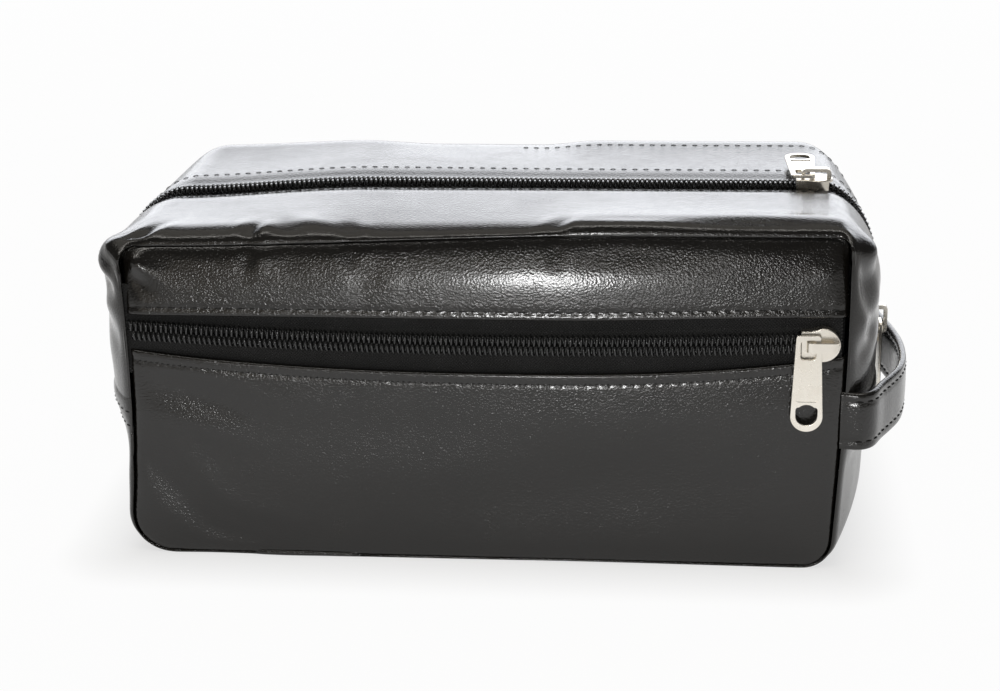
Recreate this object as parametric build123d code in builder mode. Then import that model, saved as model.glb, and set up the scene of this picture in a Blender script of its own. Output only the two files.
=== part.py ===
from build123d import *
from math import sqrt
import os

# A boxy toiletry bag: a front and a back panel joined by a band that puffs out between them.
# The upper band is the zip gusset, the lower band is the base with the ends.
# Millimetres. +X points to the handle end, -Y to the front pocket, +Z up.
# The origin is the middle of the base, on the surface that the bag stands on.

# Outer shape of the bag
SEAM_LENGTH = 250.0  # front panel, end seam to end seam
SEAM_HEIGHT = 117.0  # front panel, base to top seam
DEPTH = 132.0  # face of the front panel to face of the back panel
END_BULGE = 15.0  # how far each end swells past the seams
TOP_CROWN = 6.0  # how far the top rises above the seams
SEAM_TOP_RADIUS = 9.0
MIDDLE_TOP_RADIUS = 16.0
SEAM_BASE_RADIUS = 14.0
MIDDLE_BASE_RADIUS = 20.0
BASE_FLAT = 0.1  # how much of the rounding the bag's weight flattens under the base

# Layers
LEATHER = 1.6
LINING = 0.5
LAYER_GAP = 0.3  # between soft layers that lie one inside the other
BINDING_WIDTH = 6.0
BINDING_THICKNESS = 1.2
BAND_TOP = 62.0  # height at which the lower band meets the zip gusset

# Zips: a woven tape with half of the coil sewn on each side
TAPE_THICKNESS = 0.6
TAPE_WIDTH = 15.0
COIL_HEIGHT = 2.9
COIL_WIDTH = 2.4  # one side of the coil
COIL_RADIUS = 1.0
CHAIN_GAP = 2.6  # between the two sides, for the post of the slider
TAPE_UNDERLAP = 7.0  # tape that runs on under the lower band

# Front pocket
FRONT_ZIP_HEIGHT = 83.8
POCKET_DROP_MIDDLE = 12.8  # from the zip down to the lower panel's edge, which is lowest in the middle
POCKET_DROP_END = 5.8
FRONT_SLIDER_FROM_END = 8.0  # from the end seam to the slider's middle

# Main zip
TAPE_DEPTH = 0.6  # from the back of the gusset leather to the tape
TOP_SLIDER_FROM_END = 8.0  # from the end seam to the slider's middle
END_SLIDER_RISE = 9.0  # from the top of the lower band to the slider's middle

# Slider
SLIDE_GAP = 0.3
PLATE_THICKNESS = 1.1
BASE_PLATE_THICKNESS = 1.0
SLIDER_TAIL = 6.5  # from the slider's middle to its square end
SLIDER_NOSE = 6.8  # from the slider's middle to its round end
BASE_PLATE_NOSE = 5.0
TAIL_HALF_WIDTH = 4.8
SHOULDER_HALF_WIDTH = 6.0
SHOULDER_START = -3.2
SHOULDER_END = 0.6
SHOULDER_GAP = 0.4  # from the slider to the leather beside it
POST_LENGTH = 4.6
POST_WIDTH = 2.0
POST_PLACE = 1.6
PLATE_EDGE = 0.35

# Bridge of the slider, which holds the pull
BRIDGE_WIDTH = 3.4
BRIDGE_THICKNESS = 1.2
BRIDGE_TAIL = 4.6
BRIDGE_NOSE = 6.2
NOSE_LEG = 1.6
TUNNEL_HEIGHT = 2.3
TUNNEL_RADIUS = 0.8
BRIDGE_RADIUS = 1.9

# Pull tab
PULL_THICKNESS = 1.1
PULL_LENGTH = 34.6
PULL_TOP_WIDTH = 8.4
PULL_END_RADIUS = 5.5
EYE_WIDTH = 5.2
EYE_LENGTH = 6.7
EYE_ABOVE_LEG = 2.1  # clear circle round the leg on which the pull swings
CROSSBAR = 1.8
EYE_RADIUS = 1.2
FINGER_HOLE_WIDTH = 7.4
FINGER_HOLE_LENGTH = 6.4
FINGER_HOLE_RIM = 2.4
FINGER_HOLE_RADIUS = 1.0
FIELD_DEPTH = 0.25
FIELD_RIM = 1.5
FIELD_GAP = 2.0  # from the field to the eye and to the finger hole
PULL_CORNER = 0.9
PULL_EDGE = 0.25

# Handle on the +X end
STRAP_WIDTH = 21.0
STRAP_THICKNESS = 2.8
STRAP_HEIGHT = 55.5  # height of its middle
STRAP_CORE_WIDTH = 15.0
STRAP_CORE_THICKNESS = 1.2
STRAP_ROOT = 3.6  # from the end seam to the strap's end
STRAP_TONGUE_GAP = 0.8  # from the end seam to the core's end
STRAP_TONGUE_WIDTH = 8.0  # the core narrows where it runs into the seam
STRAP_ROOT_Y = 0.8  # from the panel's face to the strap's middle, at the seam
STRAP_ELBOW = 10.5  # from the end seam to the bends beside the seams
STRAP_REACH = 24.8  # from the end seam to the strap's middle, at its furthest
STRAP_BACK_REACH = 18.2  # the same at the rear bend
STRAP_FRONT_BEND = 32.0  # from the bag's middle plane to the bends, along Y
STRAP_TOP_BEND = 3.0
STRAP_BACK_BEND = 36.0
STRAP_BEND_RADII = (5.0, 30.0, 55.0, 40.0, 5.0)

# Worked out
HALF_LENGTH = SEAM_LENGTH / 2
FRONT = -DEPTH / 2
BACK = DEPTH / 2
PANEL_BACK = FRONT + LEATHER  # inner face of the front panel, on which the tape lies
BAND_HALF_DEPTH = DEPTH / 2 - LEATHER
CHAIN_EDGE = CHAIN_GAP / 2
SLOT_HALF_WIDTH = SHOULDER_HALF_WIDTH + SHOULDER_GAP
POCKET_EDGE_MIDDLE = FRONT_ZIP_HEIGHT - POCKET_DROP_MIDDLE
POCKET_EDGE_END = FRONT_ZIP_HEIGHT - POCKET_DROP_END
FRONT_SLIDER_X = HALF_LENGTH - FRONT_SLIDER_FROM_END
TOP_SLIDER_X = HALF_LENGTH - TOP_SLIDER_FROM_END
END_SLIDER_Z = BAND_TOP + END_SLIDER_RISE
COIL_HALF_WIDTH = CHAIN_EDGE + COIL_WIDTH
TAPE_INSET = LEATHER + TAPE_DEPTH
LINING_INSET = TAPE_INSET + TAPE_THICKNESS + LAYER_GAP
PLATE_LOW = COIL_HEIGHT + SLIDE_GAP
PLATE_HIGH = PLATE_LOW + PLATE_THICKNESS
BASE_PLATE_HIGH = -TAPE_THICKNESS - SLIDE_GAP
BASE_PLATE_LOW = BASE_PLATE_HIGH - BASE_PLATE_THICKNESS
POCKET_LINING_FRONT = PANEL_BACK - BASE_PLATE_LOW + SLIDE_GAP
RIM_INSET = LEATHER + LAYER_GAP
FRONT_TAPE_LENGTH = SEAM_LENGTH - 2 * (RIM_INSET + LINING + LAYER_GAP)
MIDDLE_HALF_LENGTH = HALF_LENGTH + END_BULGE
MIDDLE_HEIGHT = SEAM_HEIGHT + TOP_CROWN
LEG_PLACE = -BRIDGE_TAIL + BRIDGE_THICKNESS / 2  # the pull swings round the leg at the tail
PULL_LOW = PLATE_HIGH + (TUNNEL_HEIGHT - PULL_THICKNESS) / 2


def tab_half_width(place):
    """Half the width of the pull tab at a place along it, counted from the leg."""
    start = -EYE_ABOVE_LEG - CROSSBAR
    end = start + PULL_LENGTH - PULL_END_RADIUS
    return PULL_TOP_WIDTH / 2 + (PULL_END_RADIUS - PULL_TOP_WIDTH / 2) * (place - start) / (end - start)


def upright(y):
    """Plane whose sketch x is +X and sketch y is +Z, facing the front."""
    return Plane(origin=(0, y, 0), x_dir=(1, 0, 0), z_dir=(0, -1, 0))


def outline(swell, inset, sink=0):
    """Rounded outline of the bag, drawn inset, at a place that swells by a share from 0 to 1.

    Its base is lower by sink, for a shape that is cut flat afterwards.
    """
    half_length = HALF_LENGTH + END_BULGE * swell - inset
    base = inset - sink
    top = SEAM_HEIGHT + TOP_CROWN * swell - inset
    top_radius = SEAM_TOP_RADIUS + (MIDDLE_TOP_RADIUS - SEAM_TOP_RADIUS) * swell - inset
    base_radius = SEAM_BASE_RADIUS + (MIDDLE_BASE_RADIUS - SEAM_BASE_RADIUS) * swell - inset
    with BuildSketch(mode=Mode.PRIVATE) as drawn:
        with Locations((0, base)):
            Rectangle(2 * half_length, top - base, align=(Align.CENTER, Align.MIN))
        fillet(drawn.vertices().group_by(Axis.Y)[-1], top_radius)
        fillet(drawn.vertices().group_by(Axis.Y)[0], base_radius)
    return drawn.sketch


def puffed(inset):
    """Solid of the band's outer shape, drawn inset: narrow at the seams and full between them."""
    shares = (-1, -sqrt(3) / 2, -0.5, 0, 0.5, sqrt(3) / 2, 1)
    with BuildPart(mode=Mode.PRIVATE) as solid:
        for share in shares:
            with BuildSketch(upright(share * BAND_HALF_DEPTH)):
                add(outline(sqrt(1 - share * share), inset, BASE_FLAT))
        loft()
        split(bisect_by=Plane.XY.offset(inset), keep=Keep.TOP)
    return solid.part


def band_shell(inset, thickness):
    """Closed hoop of one layer of the band, from seam to seam."""
    with BuildPart(mode=Mode.PRIVATE) as hoop:
        add(puffed(inset))
        add(puffed(inset + thickness), mode=Mode.SUBTRACT)
    return hoop.part


def hoop_at_middle(inset, thickness, near, far, low):
    """Arch of one layer of the main zip, from near to far along Y and down to low at both ends."""
    with BuildPart(mode=Mode.PRIVATE) as arch:
        with BuildSketch(upright(far)):
            add(outline(1, inset))
            add(outline(1, inset + thickness), mode=Mode.SUBTRACT)
        extrude(amount=far - near)
        split(bisect_by=Plane.XY.offset(low), keep=Keep.TOP)
    return arch.part


def write(name, part):
    """Label a finished piece and write it under its own name."""
    part.label = name
    export_step(part, "parts/" + name + ".step")


os.makedirs("parts", exist_ok=True)

# Lower band: base and ends, up to the zip gusset
leather_hoop = band_shell(0, LEATHER)
with BuildPart() as base_band:
    add(leather_hoop)
    split(bisect_by=Plane.XY.offset(BAND_TOP), keep=Keep.BOTTOM)
write("base_band", base_band.part)

# Zip gusset: one leather strip in front of the main zip and one behind it
with BuildPart() as top_front_strip:
    add(leather_hoop)
    split(bisect_by=Plane.XY.offset(BAND_TOP), keep=Keep.TOP)
    split(bisect_by=Plane.XZ.offset(SLOT_HALF_WIDTH), keep=Keep.TOP)
write("top_front_strip", top_front_strip.part)

with BuildPart() as top_back_strip:
    add(leather_hoop)
    split(bisect_by=Plane.XY.offset(BAND_TOP), keep=Keep.TOP)
    split(bisect_by=Plane.XZ.offset(-SLOT_HALF_WIDTH), keep=Keep.BOTTOM)
write("top_back_strip", top_back_strip.part)

# Front panel in two parts, above and below the pocket zip
with BuildPart() as front_upper_panel:
    with BuildSketch(upright(PANEL_BACK)):
        add(outline(0, 0))
        Rectangle(
            SEAM_LENGTH,
            FRONT_ZIP_HEIGHT + SLOT_HALF_WIDTH,
            align=(Align.CENTER, Align.MIN),
            mode=Mode.SUBTRACT,
        )
    extrude(amount=LEATHER)
write("front_upper_panel", front_upper_panel.part)

with BuildPart() as front_lower_panel:
    with BuildSketch(upright(PANEL_BACK)):
        with BuildLine():
            left_end = (-HALF_LENGTH, POCKET_EDGE_END)
            right_end = (HALF_LENGTH, POCKET_EDGE_END)
            ThreePointArc(left_end, (0, POCKET_EDGE_MIDDLE), right_end)
            Polyline(right_end, (HALF_LENGTH, 0), (-HALF_LENGTH, 0), left_end)
        make_face()
        add(outline(0, 0), mode=Mode.INTERSECT)
    extrude(amount=LEATHER)
write("front_lower_panel", front_lower_panel.part)

# Back panel in one part
with BuildPart() as back_panel:
    with BuildSketch(upright(BACK)):
        add(outline(0, 0))
    extrude(amount=LEATHER)
write("back_panel", back_panel.part)

# Back wall of the front pocket: a sheet with a rim that is sewn in all round
with BuildPart() as pocket_lining:
    with BuildSketch(upright(POCKET_LINING_FRONT + LINING)):
        add(outline(0, RIM_INSET))
    extrude(amount=LINING)
    with BuildSketch(upright(POCKET_LINING_FRONT)):
        add(outline(0, RIM_INSET))
        add(outline(0, RIM_INSET + LINING), mode=Mode.SUBTRACT)
    extrude(amount=POCKET_LINING_FRONT - PANEL_BACK)
write("pocket_lining", pocket_lining.part)

# Lining of the back panel
LINING_BACK = BACK - LEATHER
with BuildPart() as lining_back:
    with BuildSketch(upright(LINING_BACK)):
        add(outline(0, RIM_INSET))
    extrude(amount=LINING)
write("lining_back", lining_back.part)

# Tape bindings over the raw edges of the two long seams, inside the bag
FRONT_BINDING = POCKET_LINING_FRONT + LINING + BINDING_THICKNESS
BACK_BINDING = LINING_BACK - LINING
for name, binding_back in (("front_seam_binding", FRONT_BINDING), ("back_seam_binding", BACK_BINDING)):
    with BuildPart() as seam_binding:
        with BuildSketch(upright(binding_back)):
            add(outline(0, RIM_INSET))
            add(outline(0, RIM_INSET + BINDING_WIDTH), mode=Mode.SUBTRACT)
        extrude(amount=BINDING_THICKNESS)
    write(name, seam_binding.part)

# Lining of the bands, between the two bindings and clear of the main zip
lining_hoop = band_shell(LINING_INSET, LINING)
LINING_FRONT_EDGE = -FRONT_BINDING - LAYER_GAP
LINING_BACK_EDGE = BACK_BINDING - BINDING_THICKNESS - LAYER_GAP
LINING_SLOT = SLOT_HALF_WIDTH + LAYER_GAP
with BuildPart() as lining_base:
    add(lining_hoop)
    split(bisect_by=Plane.XY.offset(BAND_TOP), keep=Keep.BOTTOM)
    split(bisect_by=Plane.XZ.offset(LINING_FRONT_EDGE), keep=Keep.BOTTOM)
    split(bisect_by=Plane.XZ.offset(-LINING_BACK_EDGE), keep=Keep.TOP)
write("lining_base", lining_base.part)

with BuildPart() as lining_top_front:
    add(lining_hoop)
    split(bisect_by=Plane.XY.offset(BAND_TOP), keep=Keep.TOP)
    split(bisect_by=Plane.XZ.offset(LINING_FRONT_EDGE), keep=Keep.BOTTOM)
    split(bisect_by=Plane.XZ.offset(LINING_SLOT), keep=Keep.TOP)
write("lining_top_front", lining_top_front.part)

with BuildPart() as lining_top_back:
    add(lining_hoop)
    split(bisect_by=Plane.XY.offset(BAND_TOP), keep=Keep.TOP)
    split(bisect_by=Plane.XZ.offset(-LINING_SLOT), keep=Keep.BOTTOM)
    split(bisect_by=Plane.XZ.offset(-LINING_BACK_EDGE), keep=Keep.TOP)
write("lining_top_back", lining_top_back.part)

# Pocket zip: two straight tapes with a side of the coil on each
for name, side in (("upper", 1), ("lower", -1)):
    with BuildPart() as front_tape:
        with BuildSketch(upright(PANEL_BACK + TAPE_THICKNESS)):
            with Locations((0, FRONT_ZIP_HEIGHT + side * (CHAIN_EDGE + TAPE_WIDTH / 2))):
                Rectangle(FRONT_TAPE_LENGTH, TAPE_WIDTH)
        extrude(amount=TAPE_THICKNESS)
    write("front_zip_" + name + "_tape", front_tape.part)

    with BuildPart() as front_coil:
        with BuildSketch(upright(PANEL_BACK)):
            with Locations((0, FRONT_ZIP_HEIGHT + side * (CHAIN_EDGE + COIL_WIDTH / 2))):
                Rectangle(FRONT_TAPE_LENGTH, COIL_WIDTH)
        extrude(amount=COIL_HEIGHT)
        fillet(front_coil.faces().sort_by(Axis.Y)[0].edges().filter_by(Axis.X), COIL_RADIUS)
    write("front_zip_" + name + "_coil", front_coil.part)

# Main zip: tapes and coil run up one end, over the top and down the other end
for name, side in (("front", -1), ("back", 1)):
    tape_sides = sorted((side * CHAIN_EDGE, side * (CHAIN_EDGE + TAPE_WIDTH)))
    coil_sides = sorted((side * CHAIN_EDGE, side * COIL_HALF_WIDTH))
    with BuildPart() as main_tape:
        add(hoop_at_middle(TAPE_INSET, TAPE_THICKNESS, *tape_sides, BAND_TOP - TAPE_UNDERLAP))
    write("main_zip_" + name + "_tape", main_tape.part)

    with BuildPart() as main_coil:
        add(hoop_at_middle(TAPE_INSET - COIL_HEIGHT, COIL_HEIGHT, *coil_sides, BAND_TOP))
    write("main_zip_" + name + "_coil", main_coil.part)


def slider_outline(nose):
    """Plan of a slider plate: square tail, flared shoulders and a round nose."""
    with BuildSketch(mode=Mode.PRIVATE) as plan:
        with BuildLine():
            tail = (-SLIDER_TAIL, -TAIL_HALF_WIDTH)
            flare = (SHOULDER_START, -TAIL_HALF_WIDTH)
            shoulder = (SHOULDER_END, -SHOULDER_HALF_WIDTH)
            Polyline((-SLIDER_TAIL, 0), tail, flare, shoulder)
            RadiusArc(shoulder, (nose, 0), -SHOULDER_HALF_WIDTH)
            mirror(about=Plane.XZ)
        make_face()
    return plan.sketch


def make_slider(name, plane, hang):
    """Slider, bridge and pull tab on a zip whose tape face is the plane, nose along its x axis."""
    with BuildPart() as slider_body:
        with BuildSketch(plane.offset(PLATE_LOW)):
            add(slider_outline(SLIDER_NOSE))
        extrude(amount=PLATE_THICKNESS)
        fillet(slider_body.faces().sort_by(Axis(plane.origin, plane.z_dir))[-1].edges(), PLATE_EDGE)
        with BuildSketch(plane.offset(SLIDE_GAP)):
            add(slider_outline(SLIDER_NOSE))
            Rectangle(
                2 * (SLIDER_TAIL + SLIDER_NOSE),
                2 * (COIL_HALF_WIDTH + SLIDE_GAP),
                mode=Mode.SUBTRACT,
            )
        extrude(amount=PLATE_LOW - SLIDE_GAP)
        with BuildSketch(plane.offset(BASE_PLATE_LOW)):
            add(slider_outline(BASE_PLATE_NOSE))
        extrude(amount=BASE_PLATE_THICKNESS)
        with BuildSketch(plane.offset(BASE_PLATE_HIGH)):
            with Locations((POST_PLACE, 0)):
                SlotOverall(POST_LENGTH, POST_WIDTH)
        extrude(amount=PLATE_LOW - BASE_PLATE_HIGH)
    write(name + "_slider_body", slider_body.part)

    side_view = Plane(origin=plane.origin, x_dir=plane.x_dir, z_dir=-plane.y_dir)
    bridge_height = TUNNEL_HEIGHT + BRIDGE_THICKNESS
    tunnel_length = BRIDGE_TAIL + BRIDGE_NOSE - BRIDGE_THICKNESS - NOSE_LEG
    with BuildPart() as slider_bridge:
        with BuildSketch(side_view.offset(-BRIDGE_WIDTH / 2)) as profile:
            with Locations((-BRIDGE_TAIL, PLATE_HIGH)):
                Rectangle(BRIDGE_TAIL + BRIDGE_NOSE, bridge_height, align=(Align.MIN, Align.MIN))
            fillet(profile.vertices().group_by(Axis.Y)[-1], BRIDGE_RADIUS)
            tunnel_middle = BRIDGE_THICKNESS - BRIDGE_TAIL + tunnel_length / 2
            with Locations((tunnel_middle, PLATE_HIGH + (TUNNEL_HEIGHT - TUNNEL_RADIUS) / 2)):
                RectangleRounded(
                    tunnel_length,
                    TUNNEL_HEIGHT + TUNNEL_RADIUS,
                    TUNNEL_RADIUS,
                    mode=Mode.SUBTRACT,
                )
        extrude(amount=BRIDGE_WIDTH)
    write(name + "_slider_bridge", slider_bridge.part)

    eye_start = -EYE_ABOVE_LEG
    tab_start = eye_start - CROSSBAR
    tab_end = tab_start + PULL_LENGTH
    end_middle = tab_end - PULL_END_RADIUS
    hole_middle = tab_end - FINGER_HOLE_RIM - FINGER_HOLE_WIDTH / 2
    hole_start = tab_end - FINGER_HOLE_RIM - FINGER_HOLE_LENGTH
    field_start = eye_start + EYE_LENGTH + FIELD_GAP
    field_end = hole_start - FIELD_GAP
    with BuildSketch(mode=Mode.PRIVATE) as finger_hole:
        with Locations((hole_start, 0)):
            Rectangle(hole_middle - hole_start, FINGER_HOLE_WIDTH, align=(Align.MIN, Align.CENTER))
        fillet(finger_hole.vertices().group_by(Axis.X)[0], FINGER_HOLE_RADIUS)
        with Locations((hole_middle, 0)):
            Circle(FINGER_HOLE_WIDTH / 2)

    leg = plane.from_local_coords((LEG_PLACE, 0, PULL_LOW))
    pull_plane = Plane(origin=leg, x_dir=hang, z_dir=plane.z_dir)
    with BuildPart() as pull:
        with BuildSketch(pull_plane) as tab:
            Polygon(
                (tab_start, -PULL_TOP_WIDTH / 2),
                (end_middle, -PULL_END_RADIUS),
                (end_middle, PULL_END_RADIUS),
                (tab_start, PULL_TOP_WIDTH / 2),
                align=None,
            )
            fillet(tab.vertices().group_by(Axis.X)[0], PULL_CORNER)
            with Locations((end_middle, 0)):
                Circle(PULL_END_RADIUS)
            with Locations((eye_start, 0)):
                RectangleRounded(
                    EYE_LENGTH,
                    EYE_WIDTH,
                    EYE_RADIUS,
                    align=(Align.MIN, Align.CENTER),
                    mode=Mode.SUBTRACT,
                )
            add(finger_hole.sketch, mode=Mode.SUBTRACT)
        extrude(amount=PULL_THICKNESS)
        outer_face = pull.faces().sort_by(Axis(pull_plane.origin, pull_plane.z_dir))[-1]
        fillet(outer_face.edges(), PULL_EDGE)
        with BuildSketch(pull_plane.offset(PULL_THICKNESS - FIELD_DEPTH)) as field:
            Polygon(
                (field_start, FIELD_RIM - tab_half_width(field_start)),
                (field_end, FIELD_RIM - tab_half_width(field_end)),
                (field_end, tab_half_width(field_end) - FIELD_RIM),
                (field_start, tab_half_width(field_start) - FIELD_RIM),
                align=None,
            )
            fillet(field.vertices(), PULL_CORNER)
        extrude(amount=FIELD_DEPTH, mode=Mode.SUBTRACT)
    write(name + "_pull", pull.part)


# Three sliders: the pocket's, and two on the main zip, one on the top and one on the end
front_zip = Plane(
    origin=(FRONT_SLIDER_X, PANEL_BACK, FRONT_ZIP_HEIGHT), x_dir=(1, 0, 0), z_dir=(0, -1, 0)
)
top_zip = Plane(
    origin=(TOP_SLIDER_X, 0, MIDDLE_HEIGHT - TAPE_INSET), x_dir=(1, 0, 0), z_dir=(0, 0, 1)
)
end_zip = Plane(
    origin=(MIDDLE_HALF_LENGTH - TAPE_INSET, 0, END_SLIDER_Z), x_dir=(0, 0, 1), z_dir=(1, 0, 0)
)
make_slider("front", front_zip, hang=(0, 0, -1))
make_slider("top", top_zip, hang=(0, 1, 0))
make_slider("end", end_zip, hang=(0, 0, -1))

# Handle: a strap from seam to seam round the +X end, with a stiffening core inside its cover
strap_route = (
    (HALF_LENGTH + STRAP_ROOT, FRONT + STRAP_ROOT_Y),
    (HALF_LENGTH + STRAP_ELBOW, FRONT + STRAP_ROOT_Y),
    (HALF_LENGTH + STRAP_REACH, -STRAP_FRONT_BEND),
    (HALF_LENGTH + STRAP_REACH, -STRAP_TOP_BEND),
    (HALF_LENGTH + STRAP_BACK_REACH, STRAP_BACK_BEND),
    (HALF_LENGTH + STRAP_ELBOW, BACK - STRAP_ROOT_Y),
    (HALF_LENGTH + STRAP_ROOT, BACK - STRAP_ROOT_Y),
)


def strap_layer(thickness, width):
    """Solid of one layer of the strap, centred on its route."""
    with BuildPart(mode=Mode.PRIVATE) as layer:
        with BuildSketch(Plane.XY.offset(STRAP_HEIGHT - width / 2)):
            with BuildLine() as route:
                FilletPolyline(*strap_route, radius=STRAP_BEND_RADII)
            trace(route.edges(), line_width=thickness)
        extrude(amount=width)
    return layer.part


with BuildPart(mode=Mode.PRIVATE) as strap_filling:
    add(strap_layer(STRAP_CORE_THICKNESS, STRAP_CORE_WIDTH))
    with BuildSketch(Plane.XY.offset(STRAP_HEIGHT - STRAP_TONGUE_WIDTH / 2)):
        for seam_y in (FRONT + STRAP_ROOT_Y, BACK - STRAP_ROOT_Y):
            with Locations((HALF_LENGTH + STRAP_TONGUE_GAP, seam_y)):
                Rectangle(
                    STRAP_ELBOW - STRAP_TONGUE_GAP - STRAP_BEND_RADII[0],
                    STRAP_CORE_THICKNESS,
                    align=(Align.MIN, Align.CENTER),
                )
    extrude(amount=STRAP_TONGUE_WIDTH)

with BuildPart() as handle_strap:
    add(strap_layer(STRAP_THICKNESS, STRAP_WIDTH))
    add(strap_filling.part, mode=Mode.SUBTRACT)
write("handle_strap", handle_strap.part)

with BuildPart() as handle_core:
    add(strap_filling.part)
write("handle_core", handle_core.part)
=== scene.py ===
"""Looks of a boxy black toiletry bag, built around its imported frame.

Sizes are in millimetres and are turned into metres where a mesh is made.
"""

import logging
import math
from dataclasses import dataclass, field
from enum import Enum

import bpy
import numpy as np
from mathutils import Matrix, Vector

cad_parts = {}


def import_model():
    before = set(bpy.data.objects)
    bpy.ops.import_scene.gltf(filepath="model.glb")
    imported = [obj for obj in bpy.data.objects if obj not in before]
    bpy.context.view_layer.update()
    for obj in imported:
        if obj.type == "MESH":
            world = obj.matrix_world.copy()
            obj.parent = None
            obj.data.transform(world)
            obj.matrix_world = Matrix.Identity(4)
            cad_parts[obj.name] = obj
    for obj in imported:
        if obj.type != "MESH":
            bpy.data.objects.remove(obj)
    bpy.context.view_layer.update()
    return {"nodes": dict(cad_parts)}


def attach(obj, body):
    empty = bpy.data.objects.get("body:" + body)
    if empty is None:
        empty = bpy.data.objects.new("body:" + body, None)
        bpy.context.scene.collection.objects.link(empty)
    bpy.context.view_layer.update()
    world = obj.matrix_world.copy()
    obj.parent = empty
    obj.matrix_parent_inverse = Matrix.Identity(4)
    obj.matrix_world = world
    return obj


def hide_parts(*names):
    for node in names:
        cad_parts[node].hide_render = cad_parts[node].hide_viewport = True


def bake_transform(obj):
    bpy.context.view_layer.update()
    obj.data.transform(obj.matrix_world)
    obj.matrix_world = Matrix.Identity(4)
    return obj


MM = 0.001
LOG = logging.getLogger("toiletry_bag")

Colour = tuple[float, float, float]
Point = tuple[float, float, float]
Feed = bpy.types.NodeSocket | float

# Counts of mesh points round the bag
LEVELS = 117.0  # number given to the top of an outline, whose base is 0
SPLIT_LEVEL = 62.0  # where the lower band meets the gusset
CORNER_COUNT = 9
LOWER_COUNT = 26
UPPER_COUNT = 24
TOP_COUNT = 122
BASE_COUNT = 62
SIDE_COUNT = 2 * CORNER_COUNT + 1 + LOWER_COUNT + UPPER_COUNT
LOOP_COUNT = 2 * BASE_COUNT - 1 + 2 * SIDE_COUNT + TOP_COUNT
SPLIT_RIGHT = BASE_COUNT + CORNER_COUNT + LOWER_COUNT
SPLIT_LEFT = BASE_COUNT + 2 * SIDE_COUNT + TOP_COUNT - 1 - CORNER_COUNT - LOWER_COUNT
GUSSET_COLUMNS = np.arange(SPLIT_RIGHT - 3, SPLIT_LEFT + 4)
BAND_COLUMNS = np.concatenate([np.arange(SPLIT_LEFT, LOOP_COUNT), np.arange(0, SPLIT_RIGHT + 1)])

CORNER_SOFTNESS = 2.5  # millimetres over which the pillowing of a panel rounds its corners
FOLDED_DROP = 0.95  # how far a strip sinks towards its turned edge
GRAIN_SCALE = 1350.0  # grains of the leather per metre, about

# Sockets of a Mix node set to colours
MIX_FIRST = 6
MIX_SECOND = 7
MIX_RESULT = 2


class Slot(Enum):
    """Material slots of the soft pieces, which the script passes along but does not use."""

    LEATHER = "leather"
    LINING = "lining"
    BINDING = "binding"
    TAPE = "zip_tape"
    COIL = "zip_coil"


class Body(Enum):
    """Rigid bodies of the frame that scene pieces ride on."""

    BAG = "bag"
    HANDLE = "handle"


# Small helpers for numbers and meshes


def smoothstep(value: np.ndarray) -> np.ndarray:
    """Eased share of a ramp, from 0 where the value is 0 or less to 1 where it is 1 or more."""
    share = np.clip(value, 0.0, 1.0)
    return share * share * (3.0 - 2.0 * share)


def unit(vectors: np.ndarray) -> np.ndarray:
    """Vectors scaled to length 1 along the last axis."""
    return vectors / np.maximum(np.linalg.norm(vectors, axis=-1, keepdims=True), 1e-9)


def spaced(start: float, end: float, count: int) -> np.ndarray:
    """Evenly spaced places from start up to, but without, end."""
    return np.linspace(start, end, count, endpoint=False)


def grid_normals(grid: np.ndarray) -> np.ndarray:
    """Normals of a grid of points.

    Args:
        grid: points, rows by columns by 3.

    Returns:
        Unit normals in the same layout, on the side of rows cross columns.
    """
    down = np.gradient(grid, axis=0)
    across = np.gradient(grid, axis=1)
    return unit(np.cross(down, across))


def run_lengths(line: np.ndarray) -> np.ndarray:
    """Length of a polyline from its start to each of its points."""
    return np.concatenate([[0.0], np.cumsum(np.linalg.norm(np.diff(line, axis=0), axis=1))])


def sampled(places: np.ndarray, lengths: np.ndarray, values: np.ndarray) -> np.ndarray:
    """Values that ride on a polyline, with lengths from its start, read off at other such lengths."""
    return np.stack([np.interp(places, lengths, column) for column in values.T], axis=1)


def edge_distance(*distances: np.ndarray) -> np.ndarray:
    """Distance from the nearest of several edges, with rounded corners between them."""
    near = sum(np.exp(-np.clip(distance, 0.0, 200.0) / CORNER_SOFTNESS) for distance in distances)
    return -CORNER_SOFTNESS * np.log(np.clip(near, 1e-9, 1.0))


def resample(points: np.ndarray, step: float, attributes: tuple[np.ndarray, ...] = ()) -> list[np.ndarray]:
    """Points at even steps along a polyline, with any values that ride on it.

    Args:
        points: polyline, n by 3.
        step: wished distance between two points; it is eased to fit the length.
        attributes: arrays with one row per polyline point.

    Returns:
        The new points and then each attribute at them.
    """
    lengths = run_lengths(points)
    count = max(2, int(round(lengths[-1] / step)))
    places = (np.arange(count) + 0.5) * lengths[-1] / count
    return [sampled(places, lengths, values) for values in (points, *attributes)]


def grid_faces(rows: int, columns: int, wrap: bool = False) -> np.ndarray:
    """Quads of a grid.

    Args:
        rows: number of rows of points.
        columns: number of points in a row.
        wrap: whether each row closes on itself.

    Returns:
        Vertex numbers, one row of four per quad.
    """
    index = np.arange(rows * columns).reshape(rows, columns)
    if wrap:
        index = np.concatenate([index, index[:, :1]], axis=1)
    quads = np.stack([index[:-1, :-1], index[1:, :-1], index[1:, 1:], index[:-1, 1:]], axis=-1)
    return quads.reshape(-1, 4)


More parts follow.
